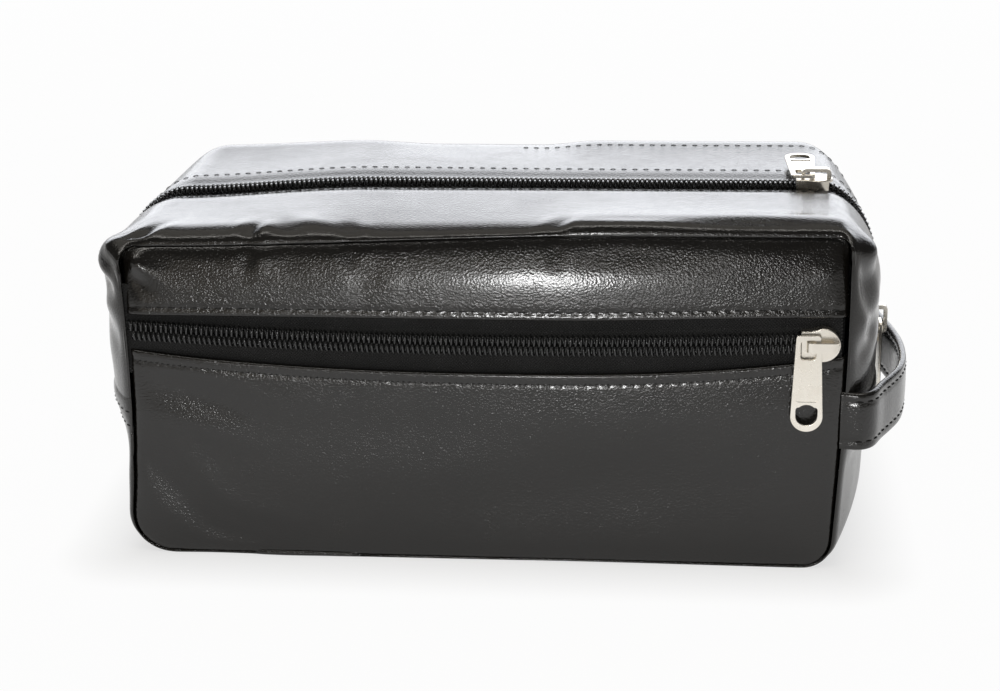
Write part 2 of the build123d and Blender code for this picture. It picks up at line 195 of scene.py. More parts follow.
def make_object(
    name: str, points: np.ndarray, faces: np.ndarray, material: bpy.types.Material
) -> bpy.types.Object:
    """Mesh object with smooth faces.

    Args:
        name: the piece's name.
        points: vertices in millimetres, n by 3.
        faces: vertex numbers, four per face.
        material: its finish.

    Returns:
        The new object, linked to the scene.
    """
    mesh = bpy.data.meshes.new(name)
    mesh.from_pydata((points * MM).tolist(), [], faces.tolist())
    mesh.polygons.foreach_set("use_smooth", np.ones(len(mesh.polygons), dtype=bool))
    mesh.materials.append(material)
    mesh.update()
    piece = bpy.data.objects.new(name, mesh)
    bpy.context.scene.collection.objects.link(piece)
    LOG.info("%s: %d faces", name, len(mesh.polygons))
    return piece


def make_sheet(
    name: str, grid: np.ndarray, material: bpy.types.Material, wrap: bool = False, flip: bool = False
) -> bpy.types.Object:
    """Mesh object from a grid of points.

    Args:
        name: the piece's name.
        grid: points in millimetres, rows by columns by 3.
        material: its finish.
        wrap: whether each row closes on itself.
        flip: whether the faces turn round, where rows cross columns points inwards.

    Returns:
        The new object.
    """
    faces = grid_faces(*grid.shape[:2], wrap=wrap)
    if flip:
        faces = faces[:, ::-1]
    return make_object(name, grid.reshape(-1, 3), faces, material)


def thicken(piece: bpy.types.Object, thickness: float, levels: int = 1) -> None:
    """Give a sheet its thickness and round it off, and keep the result as a plain mesh.

    Args:
        piece: an open sheet whose normals point outwards.
        thickness: thickness in millimetres, added on the inside.
        levels: subdivision levels.
    """
    solid = piece.modifiers.new("thickness", "SOLIDIFY")
    solid.thickness = thickness * MM
    solid.offset = -1.0
    if levels:
        smooth = piece.modifiers.new("smooth", "SUBSURF")
        smooth.levels = levels
        smooth.render_levels = levels
    keep_modifiers(piece)


def keep_modifiers(piece: bpy.types.Object) -> None:
    """Replace a piece's mesh by what its modifiers make of it.

    Args:
        piece: the object.
    """
    graph = bpy.context.evaluated_depsgraph_get()
    mesh = bpy.data.meshes.new_from_object(piece.evaluated_get(graph))
    piece.modifiers.clear()
    piece.data = mesh


def tube(
    name: str, path: np.ndarray, radius: float, sides: int, material: bpy.types.Material
) -> bpy.types.Object:
    """Round tube along a dense path.

    Args:
        name: the piece's name.
        path: centre line in millimetres, n by 3.
        radius: tube radius in millimetres.
        sides: number of sides.
        material: its finish.

    Returns:
        The new object.
    """
    along = unit(np.gradient(path, axis=0))
    upright = np.abs(along[:, 1:2]) < 0.9
    reference = np.where(upright, np.array([[0.0, 1.0, 0.0]]), np.array([[1.0, 0.0, 0.0]]))
    first = unit(np.cross(along, reference))
    second = np.cross(along, first)
    turn = spaced(0.0, 2.0 * math.pi, sides)
    ring = first[:, None] * np.cos(turn)[None, :, None] + second[:, None] * np.sin(turn)[None, :, None]
    return make_sheet(name, path[:, None] + radius * ring, material, wrap=True, flip=True)


def finish_piece(piece: bpy.types.Object, slot: Slot, body: Body, *nodes: str) -> None:
    """Attach a piece to its body and hide the CAD nodes that it stands for.

    Args:
        piece: the object.
        slot: its material slot; not used.
        body: the body that it rides on.
        nodes: the CAD nodes that it stands for, if any.
    """
    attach(piece, body.value)
    if nodes:
        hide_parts(*nodes)


# Finishes


class Nodes:
    """Short way to add and join shader nodes in one tree."""

    def __init__(self, tree: bpy.types.NodeTree) -> None:
        """Keep the tree to build in."""
        self.tree = tree

    def add(self, kind: str, **settings: object) -> bpy.types.Node:
        """Add a node.

        Args:
            kind: Blender's node type name.
            settings: attributes of the node, or input values under their names with spaces as underscores.

        Returns:
            The new node.
        """
        node = self.tree.nodes.new(kind)
        for key, value in settings.items():
            if hasattr(node, key):
                setattr(node, key, value)
            else:
                node.inputs[key.replace("_", " ")].default_value = value
        return node

    def join(self, source: bpy.types.NodeSocket, target: bpy.types.NodeSocket) -> None:
        """Link an output to an input."""
        self.tree.links.new(source, target)

    def math(self, operation: str, first: Feed, second: Feed, third: Feed = 0.0) -> bpy.types.NodeSocket:
        """Add a sum, product or the like.

        Args:
            operation: Blender's name for it.
            first: its first term, an output or a number.
            second: its second term.
            third: its third term, where it has one.

        Returns:
            Its output.
        """
        node = self.add("ShaderNodeMath", operation=operation)
        for term, socket in zip((first, second, third), node.inputs):
            if isinstance(term, float):
                socket.default_value = term
            else:
                self.join(term, socket)
        return node.outputs[0]

    def group(self, tree: bpy.types.NodeTree, **values: float) -> bpy.types.NodeSocket:
        """Add a group.

        Args:
            tree: the group.
            values: values of its inputs, where they aren't its own defaults.

        Returns:
            Its first output.
        """
        node = self.add("ShaderNodeGroup")
        node.node_tree = tree
        for label, value in values.items():
            node.inputs[label].default_value = value
        return node.outputs[0]

    def tint(
        self, mask: bpy.types.NodeSocket, first: Colour, second: Colour, target: bpy.types.NodeSocket
    ) -> None:
        """Mix two colours by a mask.

        Args:
            mask: share of the second colour.
            first: the colour where the mask is 0.
            second: the colour where it is 1.
            target: the input that takes the result.
        """
        mix = self.add("ShaderNodeMix", data_type="RGBA")
        mix.inputs[MIX_FIRST].default_value = (*first, 1.0)
        mix.inputs[MIX_SECOND].default_value = (*second, 1.0)
        self.join(mask, mix.inputs[0])
        self.join(mix.outputs[MIX_RESULT], target)

    def stretch(
        self, mask: bpy.types.NodeSocket, low: float, high: float, target: bpy.types.NodeSocket
    ) -> None:
        """Turn a mask into values.

        Args:
            mask: runs from 0 to 1.
            low: the value where it is 0.
            high: the value where it is 1.
            target: the input that takes the result.
        """
        ramp = self.add("ShaderNodeMapRange", To_Min=low, To_Max=high)
        self.join(mask, ramp.inputs["Value"])
        self.join(ramp.outputs["Result"], target)

    def bump(
        self, height: bpy.types.NodeSocket, size: float, target: bpy.types.NodeSocket, strength: float = 1.0
    ) -> None:
        """Bump a surface.

        Args:
            height: output that gives the height, where 1 is size.
            size: millimetres.
            target: the normal input.
            strength: share of the effect that shows.
        """
        node = self.add("ShaderNodeBump", Strength=strength, Distance=size * MM)
        self.join(height, node.inputs["Height"])
        self.join(node.outputs["Normal"], target)


def new_material(name: str) -> tuple[bpy.types.Material, Nodes, bpy.types.Node]:
    """Material with a node tree.

    Args:
        name: its name.

    Returns:
        The material, a Nodes helper on its tree, and its Principled shader.
    """
    material = bpy.data.materials.new(name)
    material.use_nodes = True
    return material, Nodes(material.node_tree), material.node_tree.nodes["Principled BSDF"]


def effect_group(name: str, inputs: dict[str, float], output: str) -> tuple[bpy.types.NodeTree, Nodes]:
    """Empty node group with named sockets.

    Args:
        name: the group's name.
        inputs: names and default values of its inputs.
        output: name of its output.

    Returns:
        The group and a Nodes helper on it. Its ends are the nodes named In and Out.
    """
    tree = bpy.data.node_groups.new(name, "ShaderNodeTree")
    for label, value in inputs.items():
        socket = tree.interface.new_socket(label, in_out="INPUT", socket_type="NodeSocketFloat")
        socket.default_value = value
    tree.interface.new_socket(output, in_out="OUTPUT", socket_type="NodeSocketFloat")
    nodes = Nodes(tree)
    nodes.add("NodeGroupInput", name="In")
    nodes.add("NodeGroupOutput", name="Out")
    return tree, nodes


def grain_group() -> bpy.types.NodeTree:
    """Group that gives the height of embossed grain over soft waves.

    Returns:
        A group with inputs Grain and Wave, and output Height.
    """
    tree, nodes = effect_group("embossed_grain", {"Grain": 1.0, "Wave": 1.0}, "Height")
    given = tree.nodes["In"].outputs
    place = nodes.add("ShaderNodeTexCoord").outputs["Object"]
    cells = nodes.add("ShaderNodeTexVoronoi", feature="SMOOTH_F1", Scale=GRAIN_SCALE, Smoothness=0.6)
    pores = nodes.add("ShaderNodeTexNoise", Scale=2600.0, Detail=0.0)
    waves = nodes.add("ShaderNodeTexNoise", Scale=60.0, Detail=1.0, Roughness=0.4)
    for texture in (cells, pores, waves):
        nodes.join(place, texture.inputs["Vector"])
    fine = nodes.math("MULTIPLY_ADD", pores.outputs["Fac"], 0.5, cells.outputs["Distance"])
    grain = nodes.math("MULTIPLY", fine, given["Grain"])
    wave = nodes.math("MULTIPLY", waves.outputs["Fac"], given["Wave"])
    nodes.join(nodes.math("ADD", grain, wave), tree.nodes["Out"].inputs["Height"])
    return tree


def wear_group() -> bpy.types.NodeTree:
    """Group that gives a mask of fine scuffs and soft patches.

    Returns:
        A group with inputs Scale and Amount, and output Mask.
    """
    tree, nodes = effect_group("scuffs", {"Scale": 60.0, "Amount": 0.5}, "Mask")
    given = tree.nodes["In"].outputs
    place = nodes.add("ShaderNodeTexCoord").outputs["Object"]
    patches = nodes.add("ShaderNodeTexNoise", Detail=5.0, Roughness=0.65)
    nodes.join(place, patches.inputs["Vector"])
    nodes.join(given["Scale"], patches.inputs["Scale"])
    ramp = nodes.add("ShaderNodeMapRange", From_Min=0.42, From_Max=0.72)
    nodes.join(patches.outputs["Fac"], ramp.inputs["Value"])
    scuffed = nodes.math("MULTIPLY", ramp.outputs["Result"], given["Amount"])
    nodes.join(scuffed, tree.nodes["Out"].inputs["Mask"])
    return tree


def weave_group() -> bpy.types.NodeTree:
    """Group that gives the height of a fine plain weave.

    Returns:
        A group with input Threads, which is the threads per metre times pi, and output Height.
    """
    tree, nodes = effect_group("weave", {"Threads": 900.0}, "Height")
    threads = tree.nodes["In"].outputs["Threads"]
    split = nodes.add("ShaderNodeSeparateXYZ")
    nodes.join(nodes.add("ShaderNodeTexCoord").outputs["Object"], split.inputs[0])
    both = nodes.math("ADD", split.outputs["Y"], split.outputs["Z"])
    waves = [
        nodes.math("SINE", nodes.math("MULTIPLY", source, threads), 0.0)
        for source in (split.outputs["X"], both)
    ]
    nodes.join(nodes.math("MULTIPLY", *waves), tree.nodes["Out"].inputs["Height"])
    return tree


@dataclass(frozen=True)
class Leather:
    """Glossy coated leather with a fine embossed grain."""

    name: str = "glossy_leather"
    dark: Colour = (0.006, 0.0052, 0.0042)
    light: Colour = (0.012, 0.0104, 0.0084)
    index: float = 1.46  # of refraction
    coat: float = 0.45
    coat_rough: float = 0.12
    smooth: float = 0.19
    rough: float = 0.30
    grain: float = 1.0
    wave: float = 0.7
    grain_height: float = 0.1  # millimetres

    def build(self, groups: dict[str, bpy.types.NodeTree]) -> bpy.types.Material:
        """Make the material.

        Args:
            groups: the shared effects by name.

        Returns:
            The finished material.
        """
        material, nodes, shader = new_material(self.name)
        shader.inputs["IOR"].default_value = self.index
        shader.inputs["Coat Weight"].default_value = self.coat
        shader.inputs["Coat Roughness"].default_value = self.coat_rough
        place = nodes.add("ShaderNodeTexCoord").outputs["Object"]
        shades = nodes.add("ShaderNodeTexNoise", Scale=22.0, Detail=4.0)
        skin = nodes.add("ShaderNodeTexVoronoi", feature="SMOOTH_F1", Scale=GRAIN_SCALE, Smoothness=0.6)
        for texture in (shades, skin):
            nodes.join(place, texture.inputs["Vector"])
        nodes.tint(shades.outputs["Fac"], self.dark, self.light, shader.inputs["Base Color"])
        scuffs = nodes.group(groups["scuffs"], Scale=45.0, Amount=1.0)
        nodes.stretch(scuffs, self.smooth, self.rough, shader.inputs["Roughness"])
        grain = nodes.group(groups["grain"], Grain=self.grain, Wave=self.wave)
        nodes.bump(grain, self.grain_height, shader.inputs["Normal"])
        nodes.bump(skin.outputs["Distance"], self.grain_height, shader.inputs["Coat Normal"], strength=0.2)
        return material


@dataclass(frozen=True)
class Cloth:
    """Woven fabric: zip tape, lining and binding."""

    name: str
    colour: Colour
    rough: float = 0.85
    threads: float = 5200.0
    height: float = 0.06  # millimetres
    sheen: float = 0.25

    def build(self, groups: dict[str, bpy.types.NodeTree]) -> bpy.types.Material:
        """Make the material.

        Args:
            groups: the shared effects by name.

        Returns:
            The finished material.
        """
        material, nodes, shader = new_material(self.name)
        shader.inputs["Sheen Weight"].default_value = self.sheen
        shader.inputs["Sheen Roughness"].default_value = 0.4
        weave = nodes.group(groups["weave"], Threads=self.threads)
        dark, light = (tuple(share * value for value in self.colour) for share in (0.45, 1.5))
        nodes.tint(weave, dark, light, shader.inputs["Base Color"])
        scuffs = nodes.group(groups["scuffs"])
        nodes.stretch(scuffs, self.rough, self.rough - 0.2, shader.inputs["Roughness"])
        nodes.bump(weave, self.height, shader.inputs["Normal"])
        return material


@dataclass(frozen=True)
class Plain:
    """Smooth finish with a little wear: nylon, thread and plated metal."""

    name: str
    colour: Colour
    worn: Colour
    metallic: float = 0.0
    smooth: float = 0.2
    rough: float = 0.4
    wear_scale: float = 400.0
    height: float = 0.004  # millimetres
    coat: float = 0.0
    coat_rough: float = 0.12

    def build(self, groups: dict[str, bpy.types.NodeTree]) -> bpy.types.Material:
        """Make the material.

        Args:
            groups: the shared effects by name.

        Returns:
            The finished material.
        """
        material, nodes, shader = new_material(self.name)
        shader.inputs["Metallic"].default_value = self.metallic
        shader.inputs["Coat Weight"].default_value = self.coat
        shader.inputs["Coat Roughness"].default_value = self.coat_rough
        scuffs = nodes.group(groups["scuffs"], Scale=self.wear_scale, Amount=1.0)
        nodes.tint(scuffs, self.colour, self.worn, shader.inputs["Base Color"])
        nodes.stretch(scuffs, self.smooth, self.rough, shader.inputs["Roughness"])
        nodes.bump(scuffs, self.height, shader.inputs["Normal"])
        return material


@dataclass
class Finishes:
    """Every finish of the bag, built once."""

    leather: bpy.types.Material = field(init=False)
    tape: bpy.types.Material = field(init=False)
    lining: bpy.types.Material = field(init=False)
    binding: bpy.types.Material = field(init=False)
    coil: bpy.types.Material = field(init=False)
    thread: bpy.types.Material = field(init=False)
    nickel: bpy.types.Material = field(init=False)

    def __post_init__(self) -> None:
        """Build the shared effects and then each finish."""
        groups = {"grain": grain_group(), "scuffs": wear_group(), "weave": weave_group()}
        self.leather = Leather().build(groups)
        self.tape = Cloth("woven_tape", (0.016, 0.016, 0.016), height=0.12).build(groups)
        self.lining = Cloth("thin_lining", (0.02, 0.02, 0.022), threads=9000.0).build(groups)
        self.binding = Cloth("seam_binding", (0.014, 0.014, 0.014), threads=4200.0).build(groups)
        self.coil = Plain(
            "nylon_coil", (0.010, 0.010, 0.011), (0.03, 0.03, 0.03), smooth=0.2, rough=0.34, coat=0.5
        ).build(groups)
        self.thread = Plain(
            "sewing_thread", (0.008, 0.008, 0.008), (0.014, 0.014, 0.014), smooth=0.6, rough=0.85
        ).build(groups)
        self.nickel = Plain(
            "plated_nickel",
            (0.93, 0.885, 0.80),
            (0.86, 0.81, 0.72),
            metallic=1.0,
            smooth=0.24,
            rough=0.30,
            wear_scale=150.0,
        ).build(groups)


# Shape of the soft bag


@dataclass(frozen=True)
class Side:
    """One upright side of an outline, with its two rounded corners.

    Attributes:
        base_x: X at the base, negative on the left.
        top_x: X at the top.
        base_round: reach of the lower corner along X and along Z.
        top_round: reach of the upper corner along X and along Z.
        bow: how far the side bows outwards at its middle.
        power: 2 gives an even rounding of the upper corner, less lets it droop.
    """

    base_x: float
    top_x: float
    base_round: tuple[float, float]
    top_round: tuple[float, float]
    bow: float = 0.0
    power: float = 2.0

    def levels(self) -> np.ndarray:
        """Levels of the side's points.

        Returns:
            One level per point, from the base up, close together round both corners.
        """
        quarter = np.radians(spaced(0.0, 90.0, CORNER_COUNT))
        last_quarter = np.radians(np.linspace(0.0, 90.0, CORNER_COUNT + 1))
        low = self.base_round[1] * (1.0 - np.cos(quarter))
        lower = spaced(self.base_round[1], SPLIT_LEVEL, LOWER_COUNT)
        upper = spaced(SPLIT_LEVEL, LEVELS - self.top_round[1], UPPER_COUNT)
        high = LEVELS - self.top_round[1] * (1.0 - np.sin(last_quarter) ** (2.0 / self.power))
        return np.concatenate([low, lower, upper, high])

    def x_at(self, level: np.ndarray) -> np.ndarray:
        """X of the side.

        Args:
            level: levels of the points.

        Returns:
            X at each of them.
        """
        outward = math.copysign(1.0, self.base_x)
        share = level / LEVELS
        x = self.base_x + (self.top_x - self.base_x) * share + outward * self.bow * np.sin(math.pi * share)
        low = np.clip(1.0 - level / self.base_round[1], 0.0, 1.0)
        high = np.clip((level - LEVELS) / self.top_round[1] + 1.0, 0.0, 1.0)
        x = x - outward * self.base_round[0] * (1.0 - np.sqrt(1.0 - low * low))
        return x - outward * self.top_round[0] * (1.0 - (1.0 - high**self.power) ** (1.0 / self.power))


@dataclass(frozen=True)
class Loop:
    """Closed outline of the bag seen from the front.

    Its heights are levels, 0 at the base and LEVELS at the top, wherever the top really is.

    Attributes:
        right: the side at +X.
        left: the side at -X.
        base: height of the base.
        top_left: height of the top at its left end.
        top_right: height of the top at its right end.
        rise: X at which the top starts to rise to the right, and where the rise ends.
    """

    right: Side
    left: Side
    base: float
    top_left: float
    top_right: float
    rise: tuple[float, float]

    def height(self, x: np.ndarray, level: np.ndarray) -> np.ndarray:
        """Height of a level.

        Args:
            x: X of the points.
            level: their levels.

        Returns:
            Z of each point.
        """
        rise = smoothstep((x - self.rise[0]) / (self.rise[1] - self.rise[0]))
        top = self.top_left + (self.top_right - self.top_left) * rise
        return self.base + level / LEVELS * (top - self.base)

    def points(self) -> np.ndarray:
        """Points round the outline.

        Returns:
            X and Z of each point, from the middle of the base towards +X and up.
        """
        up = self.right.levels()
        down = self.left.levels()[::-1]
        right_x = self.right.x_at(up)
        left_x = self.left.x_at(down)
        base_right = spaced(0.0, right_x[0], BASE_COUNT)
        top = np.linspace(right_x[-1], left_x[0], TOP_COUNT + 2)[1:-1]
        base_left = np.linspace(left_x[-1], 0.0, BASE_COUNT + 1)[1:-1]
        x = np.concatenate([base_right, right_x, top, left_x, base_left])
        level = np.concatenate(
            [np.zeros(BASE_COUNT), up, np.full(TOP_COUNT, LEVELS), down, np.zeros(BASE_COUNT - 1)]
        )
        return np.stack([x, self.height(x, level)], axis=1)


@dataclass(frozen=True)
class Fold:
    """Crease with a soft ridge on each side, pressed into any surface near its place.

    Attributes:
        place: its middle.
        along: direction in which it runs.
        across: direction over it, in the surface.
        length: reach along it.
        width: half the width of the groove.
        depth: how deep it is, negative for a ridge.
    """

    place: Point
    along: Point
    across: Point
    length: float
    width: float
    depth: float

    def push(self, points: np.ndarray) -> np.ndarray:
        """How far each point moves along its normal.

        Args:
            points: surface points in millimetres, last axis of 3.

        Returns:
            Moves in millimetres, negative inwards.
        """
        offset = points - np.array(self.place)
        along = unit(np.array(self.along, dtype=float))
        across = unit(np.array(self.across, dtype=float))
        deep = unit(np.cross(along, across))
        run = offset @ along / self.length
        side = offset @ across / self.width
        away = offset @ deep / (2.0 * self.width + 6.0)
        reach = np.exp(-run * run - away * away)
        groove = np.exp(-side * side)
        ridge = 0.5 * np.exp(-((side - 1.8) ** 2)) + 0.35 * np.exp(-((side + 1.8) ** 2))
        return self.depth * reach * (ridge - groove)


@dataclass(frozen=True)
class Section:
    """Rows of a band surface, one number per row.

    Attributes:
        y: depth of the row.
        shoulder: how far the row stands above the top seams through their rounded shoulders alone.
        roll: the same outside the end seams, whose rolled edges are smaller.
        drop: how far it lies inside the outer surface.
    """

    y: np.ndarray
    shoulder: np.ndarray
    roll: np.ndarray
    drop: np.ndarray

    def part(self, rows: slice) -> "Section":
        """Some of the rows."""
        return Section(self.y[rows], self.shoulder[rows], self.roll[rows], self.drop[rows])

    def mirrored(self) -> "Section":
        """The same rows on the other side of the bag's middle, ordered front to back."""
        return Section(-self.y[::-1], self.shoulder[::-1], self.roll[::-1], self.drop[::-1])


@dataclass(frozen=True)
class BagForm:
    """Shape that all the soft parts of the bag share."""

    front: Loop = Loop(
        Side(122.6, 126.2, (9.0, 9.0), (3.5, 3.5), bow=1.2),
        Side(-127.6, -124.2, (16.0, 15.0), (4.5, 4.5), bow=-2.6),
        base=0.7,
        top_left=114.0,
        top_right=119.4,
        rise=(-125.0, 60.0),
    )
    back: Loop = Loop(
        Side(124.0, 125.5, (12.0, 12.0), (12.0, 12.0), bow=1.0),
        Side(-125.5, -125.0, (14.0, 14.0), (12.0, 12.0), bow=-1.0),
        base=0.7,
        top_left=117.0,
        top_right=119.6,
        rise=(-125.0, -30.0),
    )
    middle: Loop = Loop(
        Side(137.5, 140.0, (24.0, 15.0), (19.5, 27.0), bow=0.6, power=1.75),
        Side(-134.0, -140.5, (22.0, 15.0), (24.0, 25.0), bow=0.6, power=1.75),
        base=0.0,
        top_left=119.0,
        top_right=123.0,
        rise=(-122.0, -45.0),
    )
    half_depth: float = 66.0
    recess: float = 1.3  # depth of the seams behind the panels' faces
    overhang: float = 1.2  # how far the rolled edges come forward of the seams
    under_roll: float = 0.5  # how far the roll's foremost line lies outside the seam
    shoulder_depth: float = 12.5
    shoulder_rise: float = 3.5
    swells: tuple[float, float] = (0.8, 1.7)  # share of that rise in the middle and towards the ends
    left_fade: tuple[float, float] = (-64.0, -28.0)  # X between which it goes from the latter to the former
    right_fade: tuple[float, float] = (14.0, 38.0)  # X between which it goes back
    roll_depth: float = 2.6
    roll_rise: float = 1.3
    end_powers: tuple[float, float] = (1.6, 4.5)  # how squarely the ends puff out, low down and higher up
    squarer: tuple[float, float] = (34.0, 60.0)  # heights between which the ends change to the latter
    top_power: float = 3.0
    lean: float = 4.0  # how far the top front seam lies behind the pocket's face
    lean_depth: float = 14.0

    def points(self, section: Section, columns: np.ndarray) -> np.ndarray:
        """Points of a band surface.

        Args:
            section: its rows.
            columns: numbers of the outline points that it uses.

        Returns:
            Points in millimetres, rows by columns by 3.
        """
        front, back, middle = self.front.points(), self.back.points(), self.middle.points()
        seam_middle = (front + back) / 2.0
        along = unit(np.roll(seam_middle, -1, axis=0) - np.roll(seam_middle, 1, axis=0))
        normal = np.stack([along[:, 1], -along[:, 0]], axis=1)
        upward = normal * np.stack([np.ones(len(normal)), (normal[:, 1] > 0.0)], axis=1)
        topness = np.clip(normal[:, 1], 0.0, 1.0) ** 2
        swell = self._swell(seam_middle[:, 0])
        full = self.under_roll + self.roll_rise + (self.shoulder_rise * swell - self.roll_rise) * topness
        lift = middle - seam_middle - full[:, None] * upward
        higher = smoothstep((seam_middle[:, 1] - self.squarer[0]) / np.ptp(self.squarer))
        end = self.end_powers[0] + np.ptp(self.end_powers) * higher
        power = (self.top_power + (end - self.top_power) * np.abs(normal[:, 0]))[None, :]
        depth = np.clip(section.y / self.half_depth, -1.0, 1.0)[:, None]
        share = 1.0 - np.abs(depth) ** power
        place = ((depth + 1.0) / 2.0)[..., None]
        shoulder = np.minimum(section.shoulder, self.under_roll)[:, None]
        shoulder = shoulder + np.maximum(section.shoulder - self.under_roll, 0.0)[:, None] * swell[None, :]
        stand = section.roll[:, None] + (shoulder - section.roll[:, None]) * topness[None, :]
        flat = front[None] * (1.0 - place) + back[None] * place
        flat = flat + upward[None] * stand[..., None] + lift[None] * share[..., None]
        flat = flat - normal[None] * section.drop[:, None, None]
        back_by = self.lean * np.exp(-np.clip(section.y + self.half_depth, 0.0, None) / self.lean_depth)
        y = section.y[:, None] + back_by[:, None] * topness[None, :]
        return np.stack([flat[..., 0], y, flat[..., 1]], axis=-1)[:, columns]

    def _swell(self, x: np.ndarray) -> np.ndarray:
        """Share of the shoulder's usual rise, fuller towards both ends than in the middle.

        Args:
            x: X of the points.

        Returns:
            The share at each of them.
        """
        right = smoothstep((x - self.right_fade[0]) / np.ptp(self.right_fade))
        left = smoothstep((x - self.left_fade[0]) / np.ptp(self.left_fade))
        return self.swells[0] + (self.swells[1] - self.swells[0]) * (right + 1.0 - left)

    def rolled_rows(self) -> Section:
        """Rows of the front seam's rolled edge and shoulder.

        Returns:
            The rows, from inside the seam to the flat of the top.
        """
        hidden = np.array([3.4, 1.6])
        turn = np.radians(np.array([-90.0, -62.0, -35.0, -12.0]))
        forward = self.recess - self.overhang * np.cos(turn)
        under = self.under_roll * (1.0 + np.sin(turn))
        bend = np.radians(np.linspace(0.0, 90.0, 13))
        behind = self.shoulder_depth * (1.0 - np.cos(bend))
        share = 1.0 - np.clip(1.0 - behind / self.roll_depth, 0.0, 1.0) ** 2
        inward = np.concatenate([self.recess + hidden, forward, self.recess - self.overhang + behind])
        shoulder = np.concatenate([[-0.8, -0.5], under, self.under_roll + self.shoulder_rise * np.sin(bend)])
        roll = np.concatenate([[-0.8, -0.5], under, self.under_roll + self.roll_rise * np.sqrt(share)])
        return Section(inward - self.half_depth, shoulder, roll, np.zeros(len(inward)))

    def strip_section(
        self, drop: float = 0.0, seam_to: float = 7.0, fold: float = 0.62, marks: tuple[float, ...] = ()
    ) -> Section:
        """Rows of the gusset strip in front of the main zip, from the seam to its turned edge.

        Args:
            drop: how far the strip lies inside the outer surface.
            seam_to: distance from the bag's middle to the turned edge.
            fold: radius of the turned edge.
            marks: distances from the bag's middle at which a row has to lie.

        Returns:
            The rows, front to middle. Their mirror image serves the rear strip.
        """
        rolled = self.rolled_rows()
        end = -seam_to - fold
        flat = rolled.y[-1] + (end - rolled.y[-1]) * np.linspace(0.0, 1.0, 30)[1:]
        for mark in marks:
            flat[np.argmin(np.abs(flat + mark))] = -mark
        turn = np.radians(np.linspace(0.0, 180.0, 8)[1:])
        edge = end + fold * np.sin(turn)
        under = end - np.array([2.0, 5.0, 8.0])
        sink = FOLDED_DROP * np.exp(-(((flat - end) / 5.0) ** 2))
        bent = FOLDED_DROP + fold * (1.0 - np.cos(turn))
        depth = np.concatenate([sink, bent, np.full(3, FOLDED_DROP + 2.0 * fold)])
        y = np.concatenate([flat, edge, under])
        return self._extended(rolled, y, depth, drop)

    def whole_section(self, drop: float = 0.0) -> Section:
        """Rows of a band from seam to seam.

        Args:
            drop: how far the band lies inside the outer surface.

        Returns:
            The rows, front to back.
        """
        rolled = self.rolled_rows()
        flat = np.linspace(rolled.y[-1], -rolled.y[-1], 22)[1:-1]
        back = rolled.mirrored()
        half = self._extended(rolled, flat, np.zeros(len(flat)), drop)
        return Section(
            np.concatenate([half.y, back.y]),
            np.concatenate([half.shoulder, back.shoulder]),
            np.concatenate([half.roll, back.roll]),
            np.concatenate([half.drop, back.drop + drop]),
        )

    def _extended(self, rolled: Section, y: np.ndarray, depth: np.ndarray, drop: float) -> Section:
        """Add rows behind a rolled edge.

        Args:
            rolled: the edge's rows.
            y: depths of the further rows.
            depth: how far each of these lies inside the outer surface.
            drop: how much further inside all the rows lie.

        Returns:
            All the rows.
        """
        return Section(
            np.concatenate([rolled.y, y]),
            np.concatenate([rolled.shoulder, np.full(len(y), self.under_roll + self.shoulder_rise)]),
            np.concatenate([rolled.roll, np.full(len(y), self.under_roll + self.roll_rise)]),
            np.concatenate([rolled.drop, depth]) + drop,
        )

    def zip_path(self, drop: float) -> np.ndarray:
        """Line of the main zip in the bag's middle plane, from the right end over the top to the left end.

        Args:
            drop: how far it lies inside the leather's outer surface.

        Returns:
            Points in millimetres, n by 3.
        """
        shoulder = np.array([self.under_roll + self.shoulder_rise])
        roll = np.array([self.under_roll + self.roll_rise])
        section = Section(np.array([0.0]), shoulder, roll, np.array([drop]))
        return self.points(section, GUSSET_COLUMNS)[0]


@dataclass(frozen=True)
class Creases:
    """Folds and dents that give the bag its used look."""

    folds: tuple[Fold, ...] = ()

    def press(self, grid: np.ndarray, side: float = 1.0, hold: np.ndarray | None = None) -> np.ndarray:
        """Move a grid of points by every fold.

        Args:
            grid: rows by columns by 3.
            side: 1 where rows cross columns points outwards, -1 where it points inwards.
            hold: share of the move that each point makes, where not all of it.

        Returns:
            The moved grid.
        """
        push = np.zeros(grid.shape[:2])
        for fold in self.folds:
            push = push + fold.push(grid)
        if hold is not None:
            push = push * hold
        return grid + side * grid_normals(grid) * push[..., None]


# Sewing


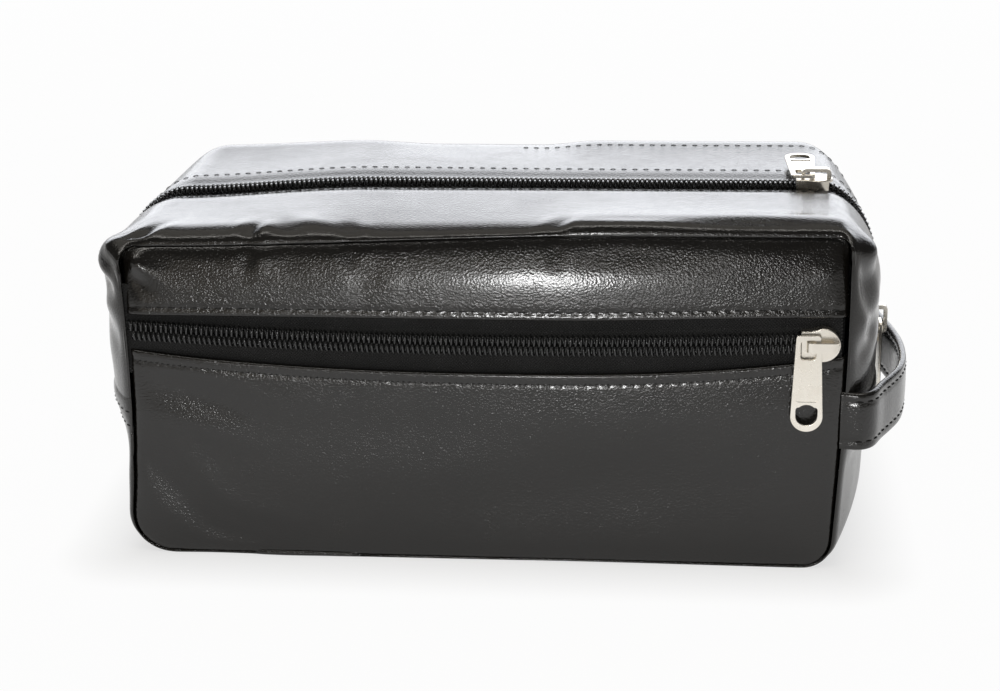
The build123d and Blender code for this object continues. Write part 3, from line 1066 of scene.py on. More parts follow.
@dataclass(frozen=True)
class Stitching:
    """Rows of topstitching: short lengths of thread that sink in at both ends."""

    pitch: float = 4.1
    length: float = 2.9
    radius: float = 0.2
    material: bpy.types.Material | None = None

    def row(self, line: np.ndarray, normals: np.ndarray) -> tuple[np.ndarray, np.ndarray]:
        """Stitches along a line.

        Args:
            line: points on the leather, n by 3.
            normals: outward directions at them.

        Returns:
            Vertices and faces of all the stitches.
        """
        places, outwards, along = resample(line, self.pitch, (normals, unit(np.gradient(line, axis=0))))
        along = unit(along)
        outwards = unit(outwards - along * np.sum(outwards * along, axis=1, keepdims=True))
        across = np.cross(along, outwards)
        run = np.array([-1.0, -0.88, -0.5, 0.0, 0.5, 0.88, 1.0]) * self.length / 2.0
        girth = np.array([0.25, 0.75, 1.0, 1.0, 1.0, 0.75, 0.25]) * self.radius
        rise = np.array([-0.55, -0.12, 0.12, 0.2, 0.12, -0.12, -0.55])
        turn = spaced(0.0, 2.0 * math.pi, 8)
        centre = places[:, None] + along[:, None] * run[None, :, None]
        centre = centre + outwards[:, None] * rise[None, :, None]
        ring = across[:, None, None] * np.cos(turn)[None, None, :, None]
        ring = ring + outwards[:, None, None] * np.sin(turn)[None, None, :, None]
        points = centre[:, :, None] + ring * girth[None, :, None, None]
        one = grid_faces(len(run), len(turn), wrap=True)
        faces = one[None] + (np.arange(len(places)) * len(run) * len(turn))[:, None, None]
        return points.reshape(-1, 3), faces.reshape(-1, 4)

    def build(self, name: str, rows: list[tuple[np.ndarray, np.ndarray]]) -> bpy.types.Object:
        """One piece from several rows.

        Args:
            name: the piece's name.
            rows: a line and its normals for each row.

        Returns:
            The new object.
        """
        points, faces, total = [], [], 0
        for line, normals in rows:
            row_points, row_faces = self.row(line, normals)
            points.append(row_points)
            faces.append(row_faces + total)
            total += len(row_points)
        return make_object(name, np.concatenate(points), np.concatenate(faces), self.material)


# Leather parts


@dataclass
class Bands:
    """Gusset strips and the lower band, with their topstitching."""

    form: BagForm
    creases: Creases
    finishes: Finishes
    stitching: Stitching
    thickness: float = 0.8
    front_line: float = 10.2
    back_lines: tuple[float, float] = (18.0, 52.0)
    stitched_from: float = 66.0  # height above which the gusset is stitched
    overlap: float = 0.9  # how far the lower band stands over the gusset
    hem_columns: tuple[int, int] = (4, 7)  # columns of the lower band that its stitches follow
    rows: list[tuple[np.ndarray, np.ndarray]] = field(default_factory=list)

    def build(self) -> None:
        """Build the two strips and the lower band."""
        front = self.form.strip_section(marks=(self.front_line,))
        back = self.form.strip_section(marks=self.back_lines).mirrored()
        front_grid = self._strip("gusset_front", front, "top_front_strip")
        back_grid = self._strip("gusset_back", back, "top_back_strip")
        self._mark(front_grid, front, -self.front_line)
        self._mark(back_grid, back, self.back_lines[0])
        self._mark(back_grid, back, self.back_lines[1], start=5.0)
        self._lower_band()
        stitches = self.stitching.build("gusset_topstitching", self.rows)
        finish_piece(stitches, Slot.LEATHER, Body.BAG)

    def _strip(self, name: str, section: Section, node: str) -> np.ndarray:
        """Build one gusset strip.

        Args:
            name: the piece's name.
            section: its rows.
            node: the CAD node that it stands for.

        Returns:
            Its grid of points.
        """
        hold = 0.2 + 0.8 * smoothstep((self.form.half_depth - np.abs(section.y)) / 5.0)
        grid = self.creases.press(self.form.points(section, GUSSET_COLUMNS), hold=hold[:, None])
        piece = make_sheet(name, grid, self.finishes.leather)
        thicken(piece, self.thickness)
        finish_piece(piece, Slot.LEATHER, Body.BAG, node)
        return grid

    def _mark(self, grid: np.ndarray, section: Section, place: float, start: float = -200.0) -> None:
        """Note a stitch row on a strip.

        Args:
            grid: the strip's points.
            section: the strip's rows.
            place: depth of the stitch row.
            start: X to the right of which it is sewn.
        """
        row = int(np.argmin(np.abs(section.y - place) + 100.0 * (section.drop >= FOLDED_DROP)))
        line = grid[row]
        shown = (line[:, 2] > self.stitched_from) & (line[:, 0] > start)
        self.rows.append((line[shown], grid_normals(grid)[row][shown]))

    def _lower_band(self) -> None:
        """Base and ends in one length, its two upper edges turned under over the gusset."""
        section = self.form.whole_section()
        grid = self.creases.press(self.form.points(section, BAND_COLUMNS))
        normals = grid_normals(grid)
        count = grid.shape[1]
        from_end = np.minimum(np.arange(count), np.arange(count)[::-1]).astype(float)
        stand = self.overlap * (1.0 - smoothstep((from_end - 3.0) / 6.0))
        turned = np.where(from_end == 0, -self.overlap, np.where(from_end == 1, -0.2, stand))
        seam_share = 1.0 - np.clip(np.abs(section.y) / self.form.half_depth, 0.0, 1.0) ** 12
        grid = grid + normals * (turned[None, :] * seam_share[:, None])[..., None]
        piece = make_sheet("lower_band", grid, self.finishes.leather)
        thicken(piece, self.thickness)
        finish_piece(piece, Slot.LEATHER, Body.BAG, "base_band")
        inside = slice(6, -6)
        for column in self.hem_columns:
            for side in (column, count - 1 - column):
                self.rows.append((grid[inside, side], normals[inside, side]))


@dataclass
class FrontFace:
    """Front panel above and below the pocket zip, with turned and stitched edges."""

    form: BagForm
    creases: Creases
    finishes: Finishes
    stitching: Stitching
    columns: int = 281
    thickness: float = 0.8
    fold: float = 0.85
    groove: float = 0.14  # how deep the stitch row lies in the leather
    groove_width: float = 0.9
    hole: float = 0.15  # how much deeper each needle hole pulls it in
    pillow: float = 1.3
    seam_depth: float = 1.3
    half_width: float = 125.0
    allowance: float = 2.5  # how far the edges run on into the seams
    near: tuple[float, ...] = (0.0, 0.7, 1.4, 2.1, 2.8, 3.5, 4.4, 5.6, 7.2)  # rows by the zip edge
    lower_row: int = 4  # number of the stitch row on the lower panel
    upper_row: int = 3
    unsewn: int = 3  # columns without stitches at each end of a row
    zip_half_length: float = 124.5
    zip_depth: float = 64.4  # how far the pocket zip's tapes lie in front of the bag's middle
    zip_height: float = 81.05
    zip_lowest: float = 6.0  # X of its lowest place
    zip_rise: float = 2.23  # how far it has risen 100 mm away from there
    zip_points: int = 260

    def lower_edge(self, x: np.ndarray) -> np.ndarray:
        """Height of the pocket's turned edge.

        Args:
            x: X of the points.

        Returns:
            Z of each point.
        """
        away = x - 8.0
        reach = np.where(away < 0.0, 128.0, 118.0)
        rise = np.where(away < 0.0, 6.2, 8.2)
        return 70.8 + rise * (np.abs(away) / reach) ** 2.4

    def upper_edge(self, x: np.ndarray) -> np.ndarray:
        """Height of the upper panel's turned edge."""
        return 90.2 + 2.2 * smoothstep((x - 20.0) / 100.0)

    def zip_path(self) -> np.ndarray:
        """Line of the pocket zip.

        Returns:
            Points in millimetres from right to left, n by 3.
        """
        x = np.linspace(self.zip_half_length, -self.zip_half_length, self.zip_points)
        z = self.zip_height + self.zip_rise * ((x - self.zip_lowest) / 100.0) ** 2
        return np.stack([x, np.full(len(x), -self.zip_depth), z], axis=1)

    def build(self) -> None:
        """Build both panels and their stitches."""
        lower = self._panel("front_lower", "front_lower_panel", low=True)
        upper = self._panel("front_upper", "front_upper_panel", low=False)
        rows = [self._row(lower, self.lower_row), self._row(upper, self.upper_row)]
        stitches = self.stitching.build("front_topstitching", rows)
        finish_piece(stitches, Slot.LEATHER, Body.BAG)

    def _row(self, grid: np.ndarray, row: int) -> tuple[np.ndarray, np.ndarray]:
        """A stitch row on a panel, short of its ends."""
        sewn = slice(self.unsewn, -self.unsewn)
        return grid[row][sewn], -grid_normals(grid)[row][sewn]

    def _levels(self, low: bool) -> np.ndarray:
        """Levels of a panel's rows, from its zip edge to its seam.

        Args:
            low: whether it is the panel below the zip.

        Returns:
            One row of levels per row of the panel, close together at both ends.
        """
        x = np.linspace(-self.half_width, self.half_width, self.columns)
        inward = -1.0 if low else 1.0
        edge = (self.lower_edge(x) if low else self.upper_edge(x)) + inward * self.fold
        reach, turns, steps = (16.0, 9, 15) if low else (6.0, 7, 9)
        ending = reach * (1.0 - np.cos(np.radians(np.linspace(90.0, 0.0, turns))))
        seam_end = reach
        if not low:
            ending = LEVELS - ending
            seam_end = LEVELS - reach
        last = self._level(x, edge + inward * self.near[-1])
        levels = [self._level(x, edge + inward * step) for step in self.near]
        levels += [last + (seam_end - last) * share for share in np.linspace(0.0, 1.0, steps)[1:-1]]
        levels += [np.full(self.columns, level) for level in ending]
        return np.stack(levels)

    def _panel(self, name: str, node: str, low: bool) -> np.ndarray:
        """Build one panel.

        Args:
            name: the piece's name.
            node: the CAD node that it stands for.
            low: whether it is the panel below the zip.

        Returns:
            Its grid of points from zip edge to seam, without the turned edge.
        """
        loop = self.form.front
        up = 1.0 if low else -1.0
        level = self._levels(low)
        left, right = loop.left.x_at(level), loop.right.x_at(level)
        x = left + (right - left) * np.linspace(0.0, 1.0, self.columns)[None, :]
        z = loop.height(x, level)
        grid = np.stack([x, self._depth(x, z, x - left, right - x, level), z], axis=-1)
        from_seam = np.minimum(np.minimum(x - left, right - x), np.minimum(level, LEVELS - level))
        grid = self.creases.press(grid, side=up, hold=smoothstep(from_seam / 7.0))
        grid = self._dimpled(grid, self.lower_row if low else self.upper_row)
        rows = [self._turned_edge(grid[0], up), grid, grid[-1:] + np.array([0.0, self.allowance, 0.0])]
        whole = np.concatenate(rows)
        whole = np.concatenate([whole[:, :1], whole, whole[:, -1:]], axis=1)
        whole[:, (0, -1), 1] += self.allowance
        piece = make_sheet(name, whole, self.finishes.leather, flip=not low)
        thicken(piece, self.thickness)
        finish_piece(piece, Slot.LEATHER, Body.BAG, node)
        return grid

    def _dimpled(self, grid: np.ndarray, row: int) -> np.ndarray:
        """Pull a panel in along its stitch row, and more at every needle hole.

        Args:
            grid: the panel's points.
            row: number of the stitch row.

        Returns:
            The changed points.
        """
        lengths = np.pad(run_lengths(grid[row][self.unsewn : -self.unsewn]), self.unsewn, mode="edge")
        gap = lengths[-1] / max(2, round(lengths[-1] / self.stitching.pitch))
        hole = (0.5 + 0.5 * np.cos(2.0 * math.pi * lengths / gap)) ** 2
        beside = np.exp(-((np.linalg.norm(grid - grid[row], axis=2) / self.groove_width) ** 2))
        dimpled = grid.copy()
        dimpled[..., 1] += (self.groove + self.hole * hole[None, :]) * beside
        return dimpled

    def _level(self, x: np.ndarray, z: np.ndarray) -> np.ndarray:
        """Level of a height at X."""
        top = self.form.front.height(x, np.full_like(x, LEVELS))
        return (z - self.form.front.base) / (top - self.form.front.base) * LEVELS

    def _depth(
        self, x: np.ndarray, z: np.ndarray, from_left: np.ndarray, from_right: np.ndarray, level: np.ndarray
    ) -> np.ndarray:
        """Y of the panels, which pillow out and roll in towards the seams.

        Args:
            x: X of the points.
            z: Z of the points.
            from_left: distance from the left seam.
            from_right: distance from the right seam.
            level: levels of the points.

        Returns:
            Y of the points.
        """
        distance = edge_distance(from_left, from_right, level, LEVELS - level)
        recess = self.seam_depth * np.exp(-distance / 1.6) * (0.4 + 0.6 * smoothstep(level / 25.0))
        swell = self.pillow * (1.0 - np.exp(-distance / 13.0))
        edge = np.minimum(np.abs(z - self.lower_edge(x)), np.abs(z - self.upper_edge(x)))
        swell = swell * (0.35 + 0.65 * smoothstep(edge / 18.0))
        lean = self.form.lean * np.clip((z - 91.0) / 27.0, 0.0, 1.2) ** 1.1
        return -self.form.half_depth + recess - swell + lean

    def _turned_edge(self, first: np.ndarray, up: float) -> np.ndarray:
        """Rows of the turned edge.

        Args:
            first: the panel's first row.
            up: 1 where the edge is the panel's upper one, otherwise -1.

        Returns:
            Rows from under the panel round to its first row.
        """
        moves = [(0.0, 2.0 * self.fold, -up * under) for under in (7.0, 4.0, 1.5)]
        for angle in np.radians(np.linspace(180.0, 0.0, 8)[:-1]):
            moves.append((0.0, self.fold * (1.0 - math.cos(angle)), up * self.fold * math.sin(angle)))
        return first[None] + np.array(moves)[:, None]


@dataclass
class BackFace:
    """Plain back panel, softly pillowed."""

    form: BagForm
    creases: Creases
    finishes: Finishes
    columns: int = 121
    thickness: float = 1.2
    pillow: float = 0.6
    seam_depth: float = 1.3

    def build(self) -> None:
        """Build the panel."""
        loop = self.form.back
        u = np.linspace(0.0, 1.0, self.columns)
        quarter = np.radians(np.linspace(0.0, 90.0, 10))
        low = 13.0 * (1.0 - np.cos(quarter))
        middle = np.linspace(13.0, LEVELS - 12.0, 40)[1:-1]
        high = LEVELS - 12.0 * (1.0 - np.sin(quarter))
        level = np.repeat(np.concatenate([low, middle, high])[:, None], self.columns, axis=1)
        left, right = loop.left.x_at(level), loop.right.x_at(level)
        x = left + (right - left) * u[None, :]
        z = loop.height(x, level)
        distance = edge_distance(x - left, right - x, level, LEVELS - level)
        y = self.form.half_depth - self.seam_depth * np.exp(-distance / 1.6)
        y = y + self.pillow * (1.0 - np.exp(-distance / 16.0))
        grid = self.creases.press(np.stack([x, y, z], axis=-1))
        piece = make_sheet("back_face", grid, self.finishes.leather)
        thicken(piece, self.thickness)
        finish_piece(piece, Slot.LEATHER, Body.BAG, "back_panel")


# Zips


@dataclass
class CoilZip:
    """Closed zip: two woven tapes and two interlocked nylon coils along a line.

    Attributes:
        name: start of its pieces' names.
        path: line of the tapes' face in the middle of the chain.
        across: direction over the chain, from the first side to the second.
        sides: names of the sides at -across and +across, as the CAD nodes have them.
        nodes: start of the CAD nodes' names.
    """

    name: str
    path: np.ndarray
    across: Point
    sides: tuple[str, str]
    nodes: str
    finishes: Finishes
    pitch: float = 1.79
    wire: float = 0.38
    half_width: float = 3.7
    height: float = 2.75
    overlap: float = 0.3
    lean: float = 0.1
    tape_width: float = 15.0
    tape_thickness: float = 0.6
    turn_points: int = 16
    squareness: float = 0.62  # 1 gives round loops, less flattens their tops
    clearance: float = 0.1  # between the tape and the coil

    def build(self) -> None:
        """Build both coils and both tapes."""
        across = np.array(self.across)
        along = unit(np.gradient(self.path, axis=0))
        up = unit(np.cross(across[None], along))
        for side, label in zip((-1.0, 1.0), self.sides):
            self._coil(label, side, across, up)
            self._tape(label, side, across, up)

    def _coil(self, label: str, side: float, across: np.ndarray, up: np.ndarray) -> None:
        """Helix of one side.

        Args:
            label: the side's name.
            side: -1 or 1, the way across the chain.
            across: direction over the chain.
            up: direction out of the tapes at each point of the path.
        """
        lengths = run_lengths(self.path)
        turns = int(lengths[-1] / self.pitch) - 2
        angle = np.arange(turns * self.turn_points) * 2.0 * math.pi / self.turn_points
        reach = (self.half_width + self.overlap) / 2.0 - self.wire
        centre = (self.half_width - self.overlap) / 2.0
        rise = self.height / 2.0 - self.wire
        place = self.pitch * (angle / (2.0 * math.pi) + 1.0 + 0.25 * side) + self.lean * np.cos(angle)
        over = side * (centre + reach * self._squared(np.cos(angle)))
        lift = self.height / 2.0 + self.clearance + rise * self._squared(np.sin(angle))
        line = sampled(place, lengths, self.path)
        points = line + across * over[:, None] + sampled(place, lengths, up) * lift[:, None]
        piece = tube(f"{self.name}_{label}_coil", points, self.wire, 7, self.finishes.coil)
        finish_piece(piece, Slot.COIL, Body.BAG, f"{self.nodes}_{label}_coil")

    def _squared(self, wave: np.ndarray) -> np.ndarray:
        """Sine or cosine with flattened tops."""
        return np.sign(wave) * np.abs(wave) ** self.squareness

    def _tape(self, label: str, side: float, across: np.ndarray, up: np.ndarray) -> None:
        """Woven tape of one side, with a rib beside the coil.

        Args:
            label: the side's name.
            side: -1 or 1, the way across the chain.
            across: direction over the chain.
            up: direction out of the tapes at each point of the path.
        """
        over = np.array([0.1, 0.5, 1.0, 3.6, 4.2, 4.8, 5.4, 8.0, 11.0, self.tape_width + 1.3])
        lift = np.array([-0.1, 0.0, 0.0, 0.0, 0.12, 0.12, 0.0, 0.0, 0.0, 0.0])
        rows = self.path[None] + across * (side * over)[:, None, None] + up[None] * lift[:, None, None]
        piece = make_sheet(f"{self.name}_{label}_tape", rows, self.finishes.tape, flip=side < 0.0)
        thicken(piece, self.tape_thickness, levels=0)
        finish_piece(piece, Slot.TAPE, Body.BAG, f"{self.nodes}_{label}_tape")


# Handle


@dataclass
class Handle:
    """Folded and stitched strap round the right end."""

    finishes: Finishes
    stitching: Stitching
    route: tuple[tuple[float, float], ...] = (
        (125.0, -64.9),
        (128.6, -65.2),
        (132.4, -65.2),
        (136.0, -62.2),
        (139.3, -54.4),
        (143.0, -46.6),
        (146.6, -38.0),
        (148.9, -28.0),
        (149.8, -17.0),
        (149.6, -5.0),
        (148.0, 8.0),
        (145.8, 20.0),
        (143.4, 32.0),
        (141.0, 43.0),
        (138.4, 53.0),
        (135.8, 61.0),
        (132.6, 65.0),
        (128.6, 65.2),
        (125.0, 64.9),
    )
    middle: float = 55.5
    half_width: float = 10.5
    half_thickness: float = 1.4
    edge: float = 1.25  # radius of the rounded rims
    stitch_place: float = 7.3  # distance of the stitch rows from the middle
    groove: float = 0.32  # how deep they lie in the leather
    groove_width: float = 0.9
    crown: float = 0.12  # how much thicker the strap is in the middle

    def build(self) -> None:
        """Build the strap and its stitches."""
        line = self._smooth(np.array(self.route), 10)
        along = unit(np.gradient(line, axis=0))
        outward = np.stack([along[:, 1], -along[:, 0]], axis=1)
        width, depth = self._profile()
        near_root = np.exp(-((np.arange(len(line)) / 6.0) ** 2))
        thin = 1.0 - 0.35 * (near_root + near_root[::-1])
        flat = line[:, None] + outward[:, None] * (depth[None, :] * thin[:, None])[..., None]
        z = np.broadcast_to(self.middle + width[None, :], flat.shape[:2])
        grid = np.concatenate([flat, z[..., None]], axis=-1)
        piece = make_sheet("strap", grid, self.finishes.leather, wrap=True)
        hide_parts("handle_strap", "handle_core")
        self._bend(piece)
        rows = []
        normal = np.concatenate([outward, np.zeros((len(line), 1))], axis=1)
        inside = slice(12, -12)
        for place in (-self.stitch_place, self.stitch_place):
            for side in (-1.0, 1.0):
                face = line + outward * side * (self.half_thickness - 0.25)
                row = np.concatenate([face, np.full((len(line), 1), self.middle + place)], axis=1)
                rows.append((row[inside], side * normal[inside]))
        stitches = self.stitching.build("strap_topstitching", rows)
        self._bend(stitches)

    def _bend(self, piece: bpy.types.Object) -> None:
        """Bake the piece's placement into its mesh."""
        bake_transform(piece)

    def _profile(self) -> tuple[np.ndarray, np.ndarray]:
        """Closed cross-section.

        Returns:
            Places over the strap's width, and depths outwards.
        """
        turn = np.radians(np.linspace(-90.0, 90.0, 9))
        straight = np.linspace(-(self.half_width - self.edge), self.half_width - self.edge, 25)[1:-1]
        beside = (np.abs(straight) - self.stitch_place) / self.groove_width
        face = self.half_thickness - self.groove * np.exp(-(beside**2))
        face = face + self.crown * np.cos(straight / self.stitch_place * math.pi / 2.0).clip(0.0, 1.0)
        rim = self.half_width - self.edge + self.edge * np.cos(turn)
        rim_depth = self.edge * np.sin(turn)
        width = np.concatenate([rim, straight[::-1], -rim[::-1], straight])
        depth = np.concatenate([rim_depth, face[::-1], rim_depth[::-1], -face])
        return width, depth

    def _smooth(self, points: np.ndarray, count: int) -> np.ndarray:
        """Smooth line through points.

        Args:
            points: the points, n by 2.
            count: steps between two of them.

        Returns:
            Points of the line.
        """
        padded = np.concatenate([2.0 * points[:1] - points[1:2], points, 2.0 * points[-1:] - points[-2:-1]])
        t = spaced(0.0, 1.0, count)[:, None]
        parts = []
        for a, b, c, d in zip(padded[:-3], padded[1:-2], padded[2:-1], padded[3:]):
            square = 2.0 * a - 5.0 * b + 4.0 * c - d
            cube = 3.0 * b - a - 3.0 * c + d
            parts.append(0.5 * (2.0 * b + (c - a) * t + square * t**2 + cube * t**3))
        return np.concatenate([*parts, points[-1:]])


# Inside


@dataclass
class Inside:
    """Linings and seam bindings, which the closed zips hide."""

    form: BagForm
    finishes: Finishes
    drop: float = 4.6  # how far inside the outer surface the bands' linings lie
    inset: float = 5.0  # how far the panels' linings and the bindings are drawn in
    lining_thickness: float = 0.5
    binding_thickness: float = 1.1

    def build(self) -> None:
        """Build every hidden layer."""
        front = self.form.strip_section(drop=self.drop, seam_to=7.6).part(slice(16, -10))
        low = self.form.whole_section(drop=self.drop).part(slice(16, -16))
        for name, section, columns, node in (
            ("lining_gusset_front", front, GUSSET_COLUMNS, "lining_top_front"),
            ("lining_gusset_back", front.mirrored(), GUSSET_COLUMNS, "lining_top_back"),
            ("lining_lower_band", low, BAND_COLUMNS, "lining_base"),
        ):
            self._lining(make_sheet(name, self.form.points(section, columns), self.finishes.lining), node)
        for name, y, node in (
            ("lining_pocket", -60.9, "pocket_lining"),
            ("lining_back_panel", 63.6, "lining_back"),
        ):
            self._flat_lining(name, y, node)
        for name, y, node in (
            ("binding_front", -59.6, "front_seam_binding"),
            ("binding_back", 62.2, "back_seam_binding"),
        ):
            self._binding(name, y, node)

    def _ring(self, y: float, inset: float) -> np.ndarray:
        """Outline of the seams.

        Args:
            y: its depth.
            inset: how far it is drawn in.

        Returns:
            Its points.
        """
        section = Section(np.array([y]), np.array([0.0]), np.array([0.0]), np.array([inset]))
        seam = self.form.points(section, np.arange(LOOP_COUNT))[0]
        seam[:, 1] = y
        return seam

    def _lining(self, piece: bpy.types.Object, node: str) -> None:
        """Give a sheet the lining's thickness and attach it to the bag in place of a CAD node."""
        thicken(piece, self.lining_thickness, levels=0)
        finish_piece(piece, Slot.LINING, Body.BAG, node)

    def _flat_lining(self, name: str, y: float, node: str) -> None:
        """Lining inside a panel, from its middle to its edge.

        Args:
            name: the piece's name.
            y: its depth.
            node: the CAD node that it stands for.
        """
        rim = self._ring(y, self.inset)
        centre = np.array([0.0, y, 60.0])
        grid = np.stack([centre + (rim - centre) * share for share in (0.02, 0.35, 0.7, 1.0)])
        self._lining(make_sheet(name, grid, self.finishes.lining, wrap=True), node)

    def _binding(self, name: str, y: float, node: str) -> None:
        """Tape folded over the raw edges of a seam.

        Args:
            name: the piece's name.
            y: its depth.
            node: the CAD node that it stands for.
        """
        grid = np.stack([self._ring(y, self.inset + step) for step in (0.0, 2.0, 4.0, 6.0)])
        piece = make_sheet(name, grid, self.finishes.binding, wrap=True)
        thicken(piece, self.binding_thickness, levels=0)
        finish_piece(piece, Slot.BINDING, Body.BAG, node)


# Metal


@dataclass
class Hardware:
    """Cast sliders, bridges and pull tabs, shown as the frame has them."""

    finishes: Finishes
    places: tuple[str, ...] = ("front", "top", "end")
    parts: tuple[str, ...] = ("slider_body", "slider_bridge", "pull")

    def dress(self, nodes: dict[str, bpy.types.Object]) -> None:
        """Plate every metal part.

        Args:
            nodes: the frame's objects by name.
        """
        for place in self.places:
            for part in self.parts:
                piece = nodes[f"{place}_{part}"]
                piece.data.materials.clear()
                piece.data.materials.append(self.finishes.nickel)
                LOG.info("%s: %d faces", piece.name, len(piece.data.polygons))


# Studio


@dataclass(frozen=True)
class Softbox:
    """Large soft lamp.

    Attributes:
        name: its name.
        place: where it stands, in metres.
        target: what it points at.
        size: width and height in metres.
        radiance: brightness of its face, where 1 is white.
        colour: its tint.
    """

    name: str
    place: Point
    target: Point
    size: tuple[float, float]
    radiance: float
    colour: Colour = (1.0, 1.0, 1.0)

    def build(self) -> None:
        """Add the lamp."""
        lamp = bpy.data.lights.new(self.name, "AREA")
        lamp.shape = "RECTANGLE"
        lamp.size, lamp.size_y = self.size
        lamp.color = self.colour
        lamp.energy = self.radiance * math.pi * self.size[0] * self.size[1]
        holder = bpy.data.objects.new(self.name, lamp)
        holder.location = self.place
        towards = Vector(self.target) - Vector(self.place)
        holder.rotation_euler = towards.to_track_quat("-Z", "Y").to_euler()
        holder.visible_camera = False
        bpy.context.scene.collection.objects.link(holder)


@dataclass
class Studio:
    """White floor, soft lamps and the camera."""

    position: Point = (0.0732, -0.7151, 0.3034)
    yaw: float = -5.74
    pitch: float = 18.81
    roll: float = -0.97
    lens: float = 72.0
    sensor: float = 36.0
    floor_reach: float = 4000.0
    floor_height: float = -0.15
    floor_lift: float = 0.96  # share of plain white in the floor, where it is seen
    foot: Point = (0.125, 0.066, 0.0)  # half of the bag's length and depth, in metres
    # Painted contact shade: the white lift falls near the bag's foot, so the floor there is darker than its
    # lighting makes it, on top of the real shadow that this lets show.
    contact_lift_and_shade: tuple[tuple[float, float], ...] = ((0.0, 0.7), (0.03, 1.0))  # that share's fall by the bag
    # Painted shade in reflections: the lift that the leather mirrors falls near the bag's foot, standing in
    # for the floor's shadow there, and dims again far off.
    mirrored_lift_and_shade: tuple[tuple[float, float], ...] = ((0.0, 0.4), (0.17, 1.0), (0.31, 0.1))  # the same, mirrored
    softboxes: tuple[Softbox, ...] = (
        Softbox("overhead", (0.0, 0.1, 1.7), (0.0, 0.0, 0.0), (2.4, 1.8), 0.55, (1.0, 0.95, 0.86)),
        Softbox("strip", (0.0, -0.62, 1.45), (0.0, 0.0, 0.1), (1.8, 0.12), 7.0, (1.0, 0.97, 0.92)),
        Softbox("behind", (0.0, 1.6, 0.6), (0.0, 0.0, 0.1), (3.0, 1.0), 1.4, (0.9, 0.93, 1.0)),
        Softbox("room", (-0.35, -1.8, 0.25), (0.0, 0.0, 0.1), (1.0, 0.5), 0.5, (1.0, 0.88, 0.72)),
        Softbox("window", (-0.07, -1.35, 0.11), (0.02, -0.066, 0.1), (0.07, 0.12), 92.0),
    )

    def build(self) -> None:
        """Build everything that isn't the bag."""
        scene = bpy.context.scene
        scene.view_settings.view_transform = "Standard"
        self._world(scene)
        self._floor()
        for box in self.softboxes:
            box.build()
        scene.camera = self._camera()

    def _world(self, scene: bpy.types.Scene) -> None:
        """Bright behind and above, dim on the camera's side, white where the camera looks past the floor.

        Args:
            scene: the scene that it surrounds.
        """
        world = bpy.data.worlds.new("studio")
        world.use_nodes = True
        scene.world = world
        nodes = Nodes(world.node_tree)
        split = nodes.add("ShaderNodeSeparateXYZ")
        ramp = nodes.add("ShaderNodeMapRange", From_Min=0.68, From_Max=0.88, To_Min=0.08, To_Max=1.0)
        nodes.join(nodes.add("ShaderNodeTexCoord").outputs["Generated"], split.inputs[0])
        nodes.join(split.outputs["Y"], ramp.inputs["Value"])
        rays = nodes.add("ShaderNodeLightPath").outputs
        mix = nodes.add("ShaderNodeMix", data_type="RGBA")
        mix.inputs[MIX_SECOND].default_value = (1.0, 1.0, 1.0, 1.0)
        nodes.join(nodes.math("MAXIMUM", rays["Is Camera Ray"], rays["Is Transmission Ray"]), mix.inputs[0])
        nodes.join(ramp.outputs["Result"], mix.inputs[MIX_FIRST])
        nodes.join(mix.outputs[MIX_RESULT], world.node_tree.nodes["Background"].inputs["Color"])

    def _floor(self) -> None:
        """White floor under the bag."""
        steps = np.linspace(-self.floor_reach, self.floor_reach, 9)
        flat = np.stack(np.meshgrid(steps, steps, indexing="xy"), axis=-1)
        grid = np.concatenate([flat, np.full((*flat.shape[:2], 1), self.floor_height)], axis=-1)
        floor = make_sheet("floor", grid, self._floor_finish(), flip=True)

    def _floor_finish(self) -> bpy.types.Material:
        """White finish, lifted where it is seen directly or mirrored, that keeps a faint shadow. Near the
        bag's foot the lift falls, which lets that shadow show and also darkens the floor there as painted
        contact shade, both where it is seen and where the leather mirrors it.

        Returns:
            The finished material.
        """
        material, nodes, shader = new_material("pale_floor")
        shader.inputs["Roughness"].default_value = 0.6
        shader.inputs["Specular IOR Level"].default_value = 0.0
        mottle = nodes.add("ShaderNodeTexNoise", Scale=3.0, Detail=3.0)
        nodes.tint(mottle.outputs["Fac"], (0.95,) * 3, (0.97,) * 3, shader.inputs["Base Color"])
        rays = nodes.add("ShaderNodeLightPath").outputs
        away = self._away(nodes)
        # painted contact shade near the bag's foot, where the floor is seen directly
        viewed = nodes.math("MULTIPLY", rays["Is Camera Ray"], self._ramp(nodes, away, self.contact_lift_and_shade))
        # painted shade near the bag's foot in what the leather mirrors
        mirrored = nodes.math("MULTIPLY", rays["Is Glossy Ray"], self._ramp(nodes, away, self.mirrored_lift_and_shade))
        direct = nodes.math("MAXIMUM", viewed, mirrored)
        seen = nodes.math("MAXIMUM", direct, rays["Is Transmission Ray"])
        glow = nodes.add("ShaderNodeEmission", Strength=1.0)
        blend = nodes.add("ShaderNodeMixShader")
        nodes.join(nodes.math("MULTIPLY", seen, self.floor_lift), blend.inputs[0])
        nodes.join(shader.outputs[0], blend.inputs[1])
        nodes.join(glow.outputs[0], blend.inputs[2])
        nodes.join(blend.outputs[0], material.node_tree.nodes["Material Output"].inputs["Surface"])
        return material

    def _away(self, nodes: Nodes) -> bpy.types.NodeSocket:
        """Distance of a floor point from the bag's foot.

        Args:
            nodes: helper on the floor's tree.

        Returns:
            The output that gives it in metres.
        """
        side = nodes.add("ShaderNodeVectorMath", operation="ABSOLUTE")
        past = nodes.add("ShaderNodeVectorMath", operation="SUBTRACT")
        past.inputs[1].default_value = self.foot
        beyond = nodes.add("ShaderNodeVectorMath", operation="MAXIMUM")
        away = nodes.add("ShaderNodeVectorMath", operation="LENGTH")
        source = nodes.add("ShaderNodeTexCoord").outputs["Object"]
        for step in (side, past, beyond, away):
            nodes.join(source, step.inputs[0])
            source = step.outputs[0]
        return away.outputs["Value"]

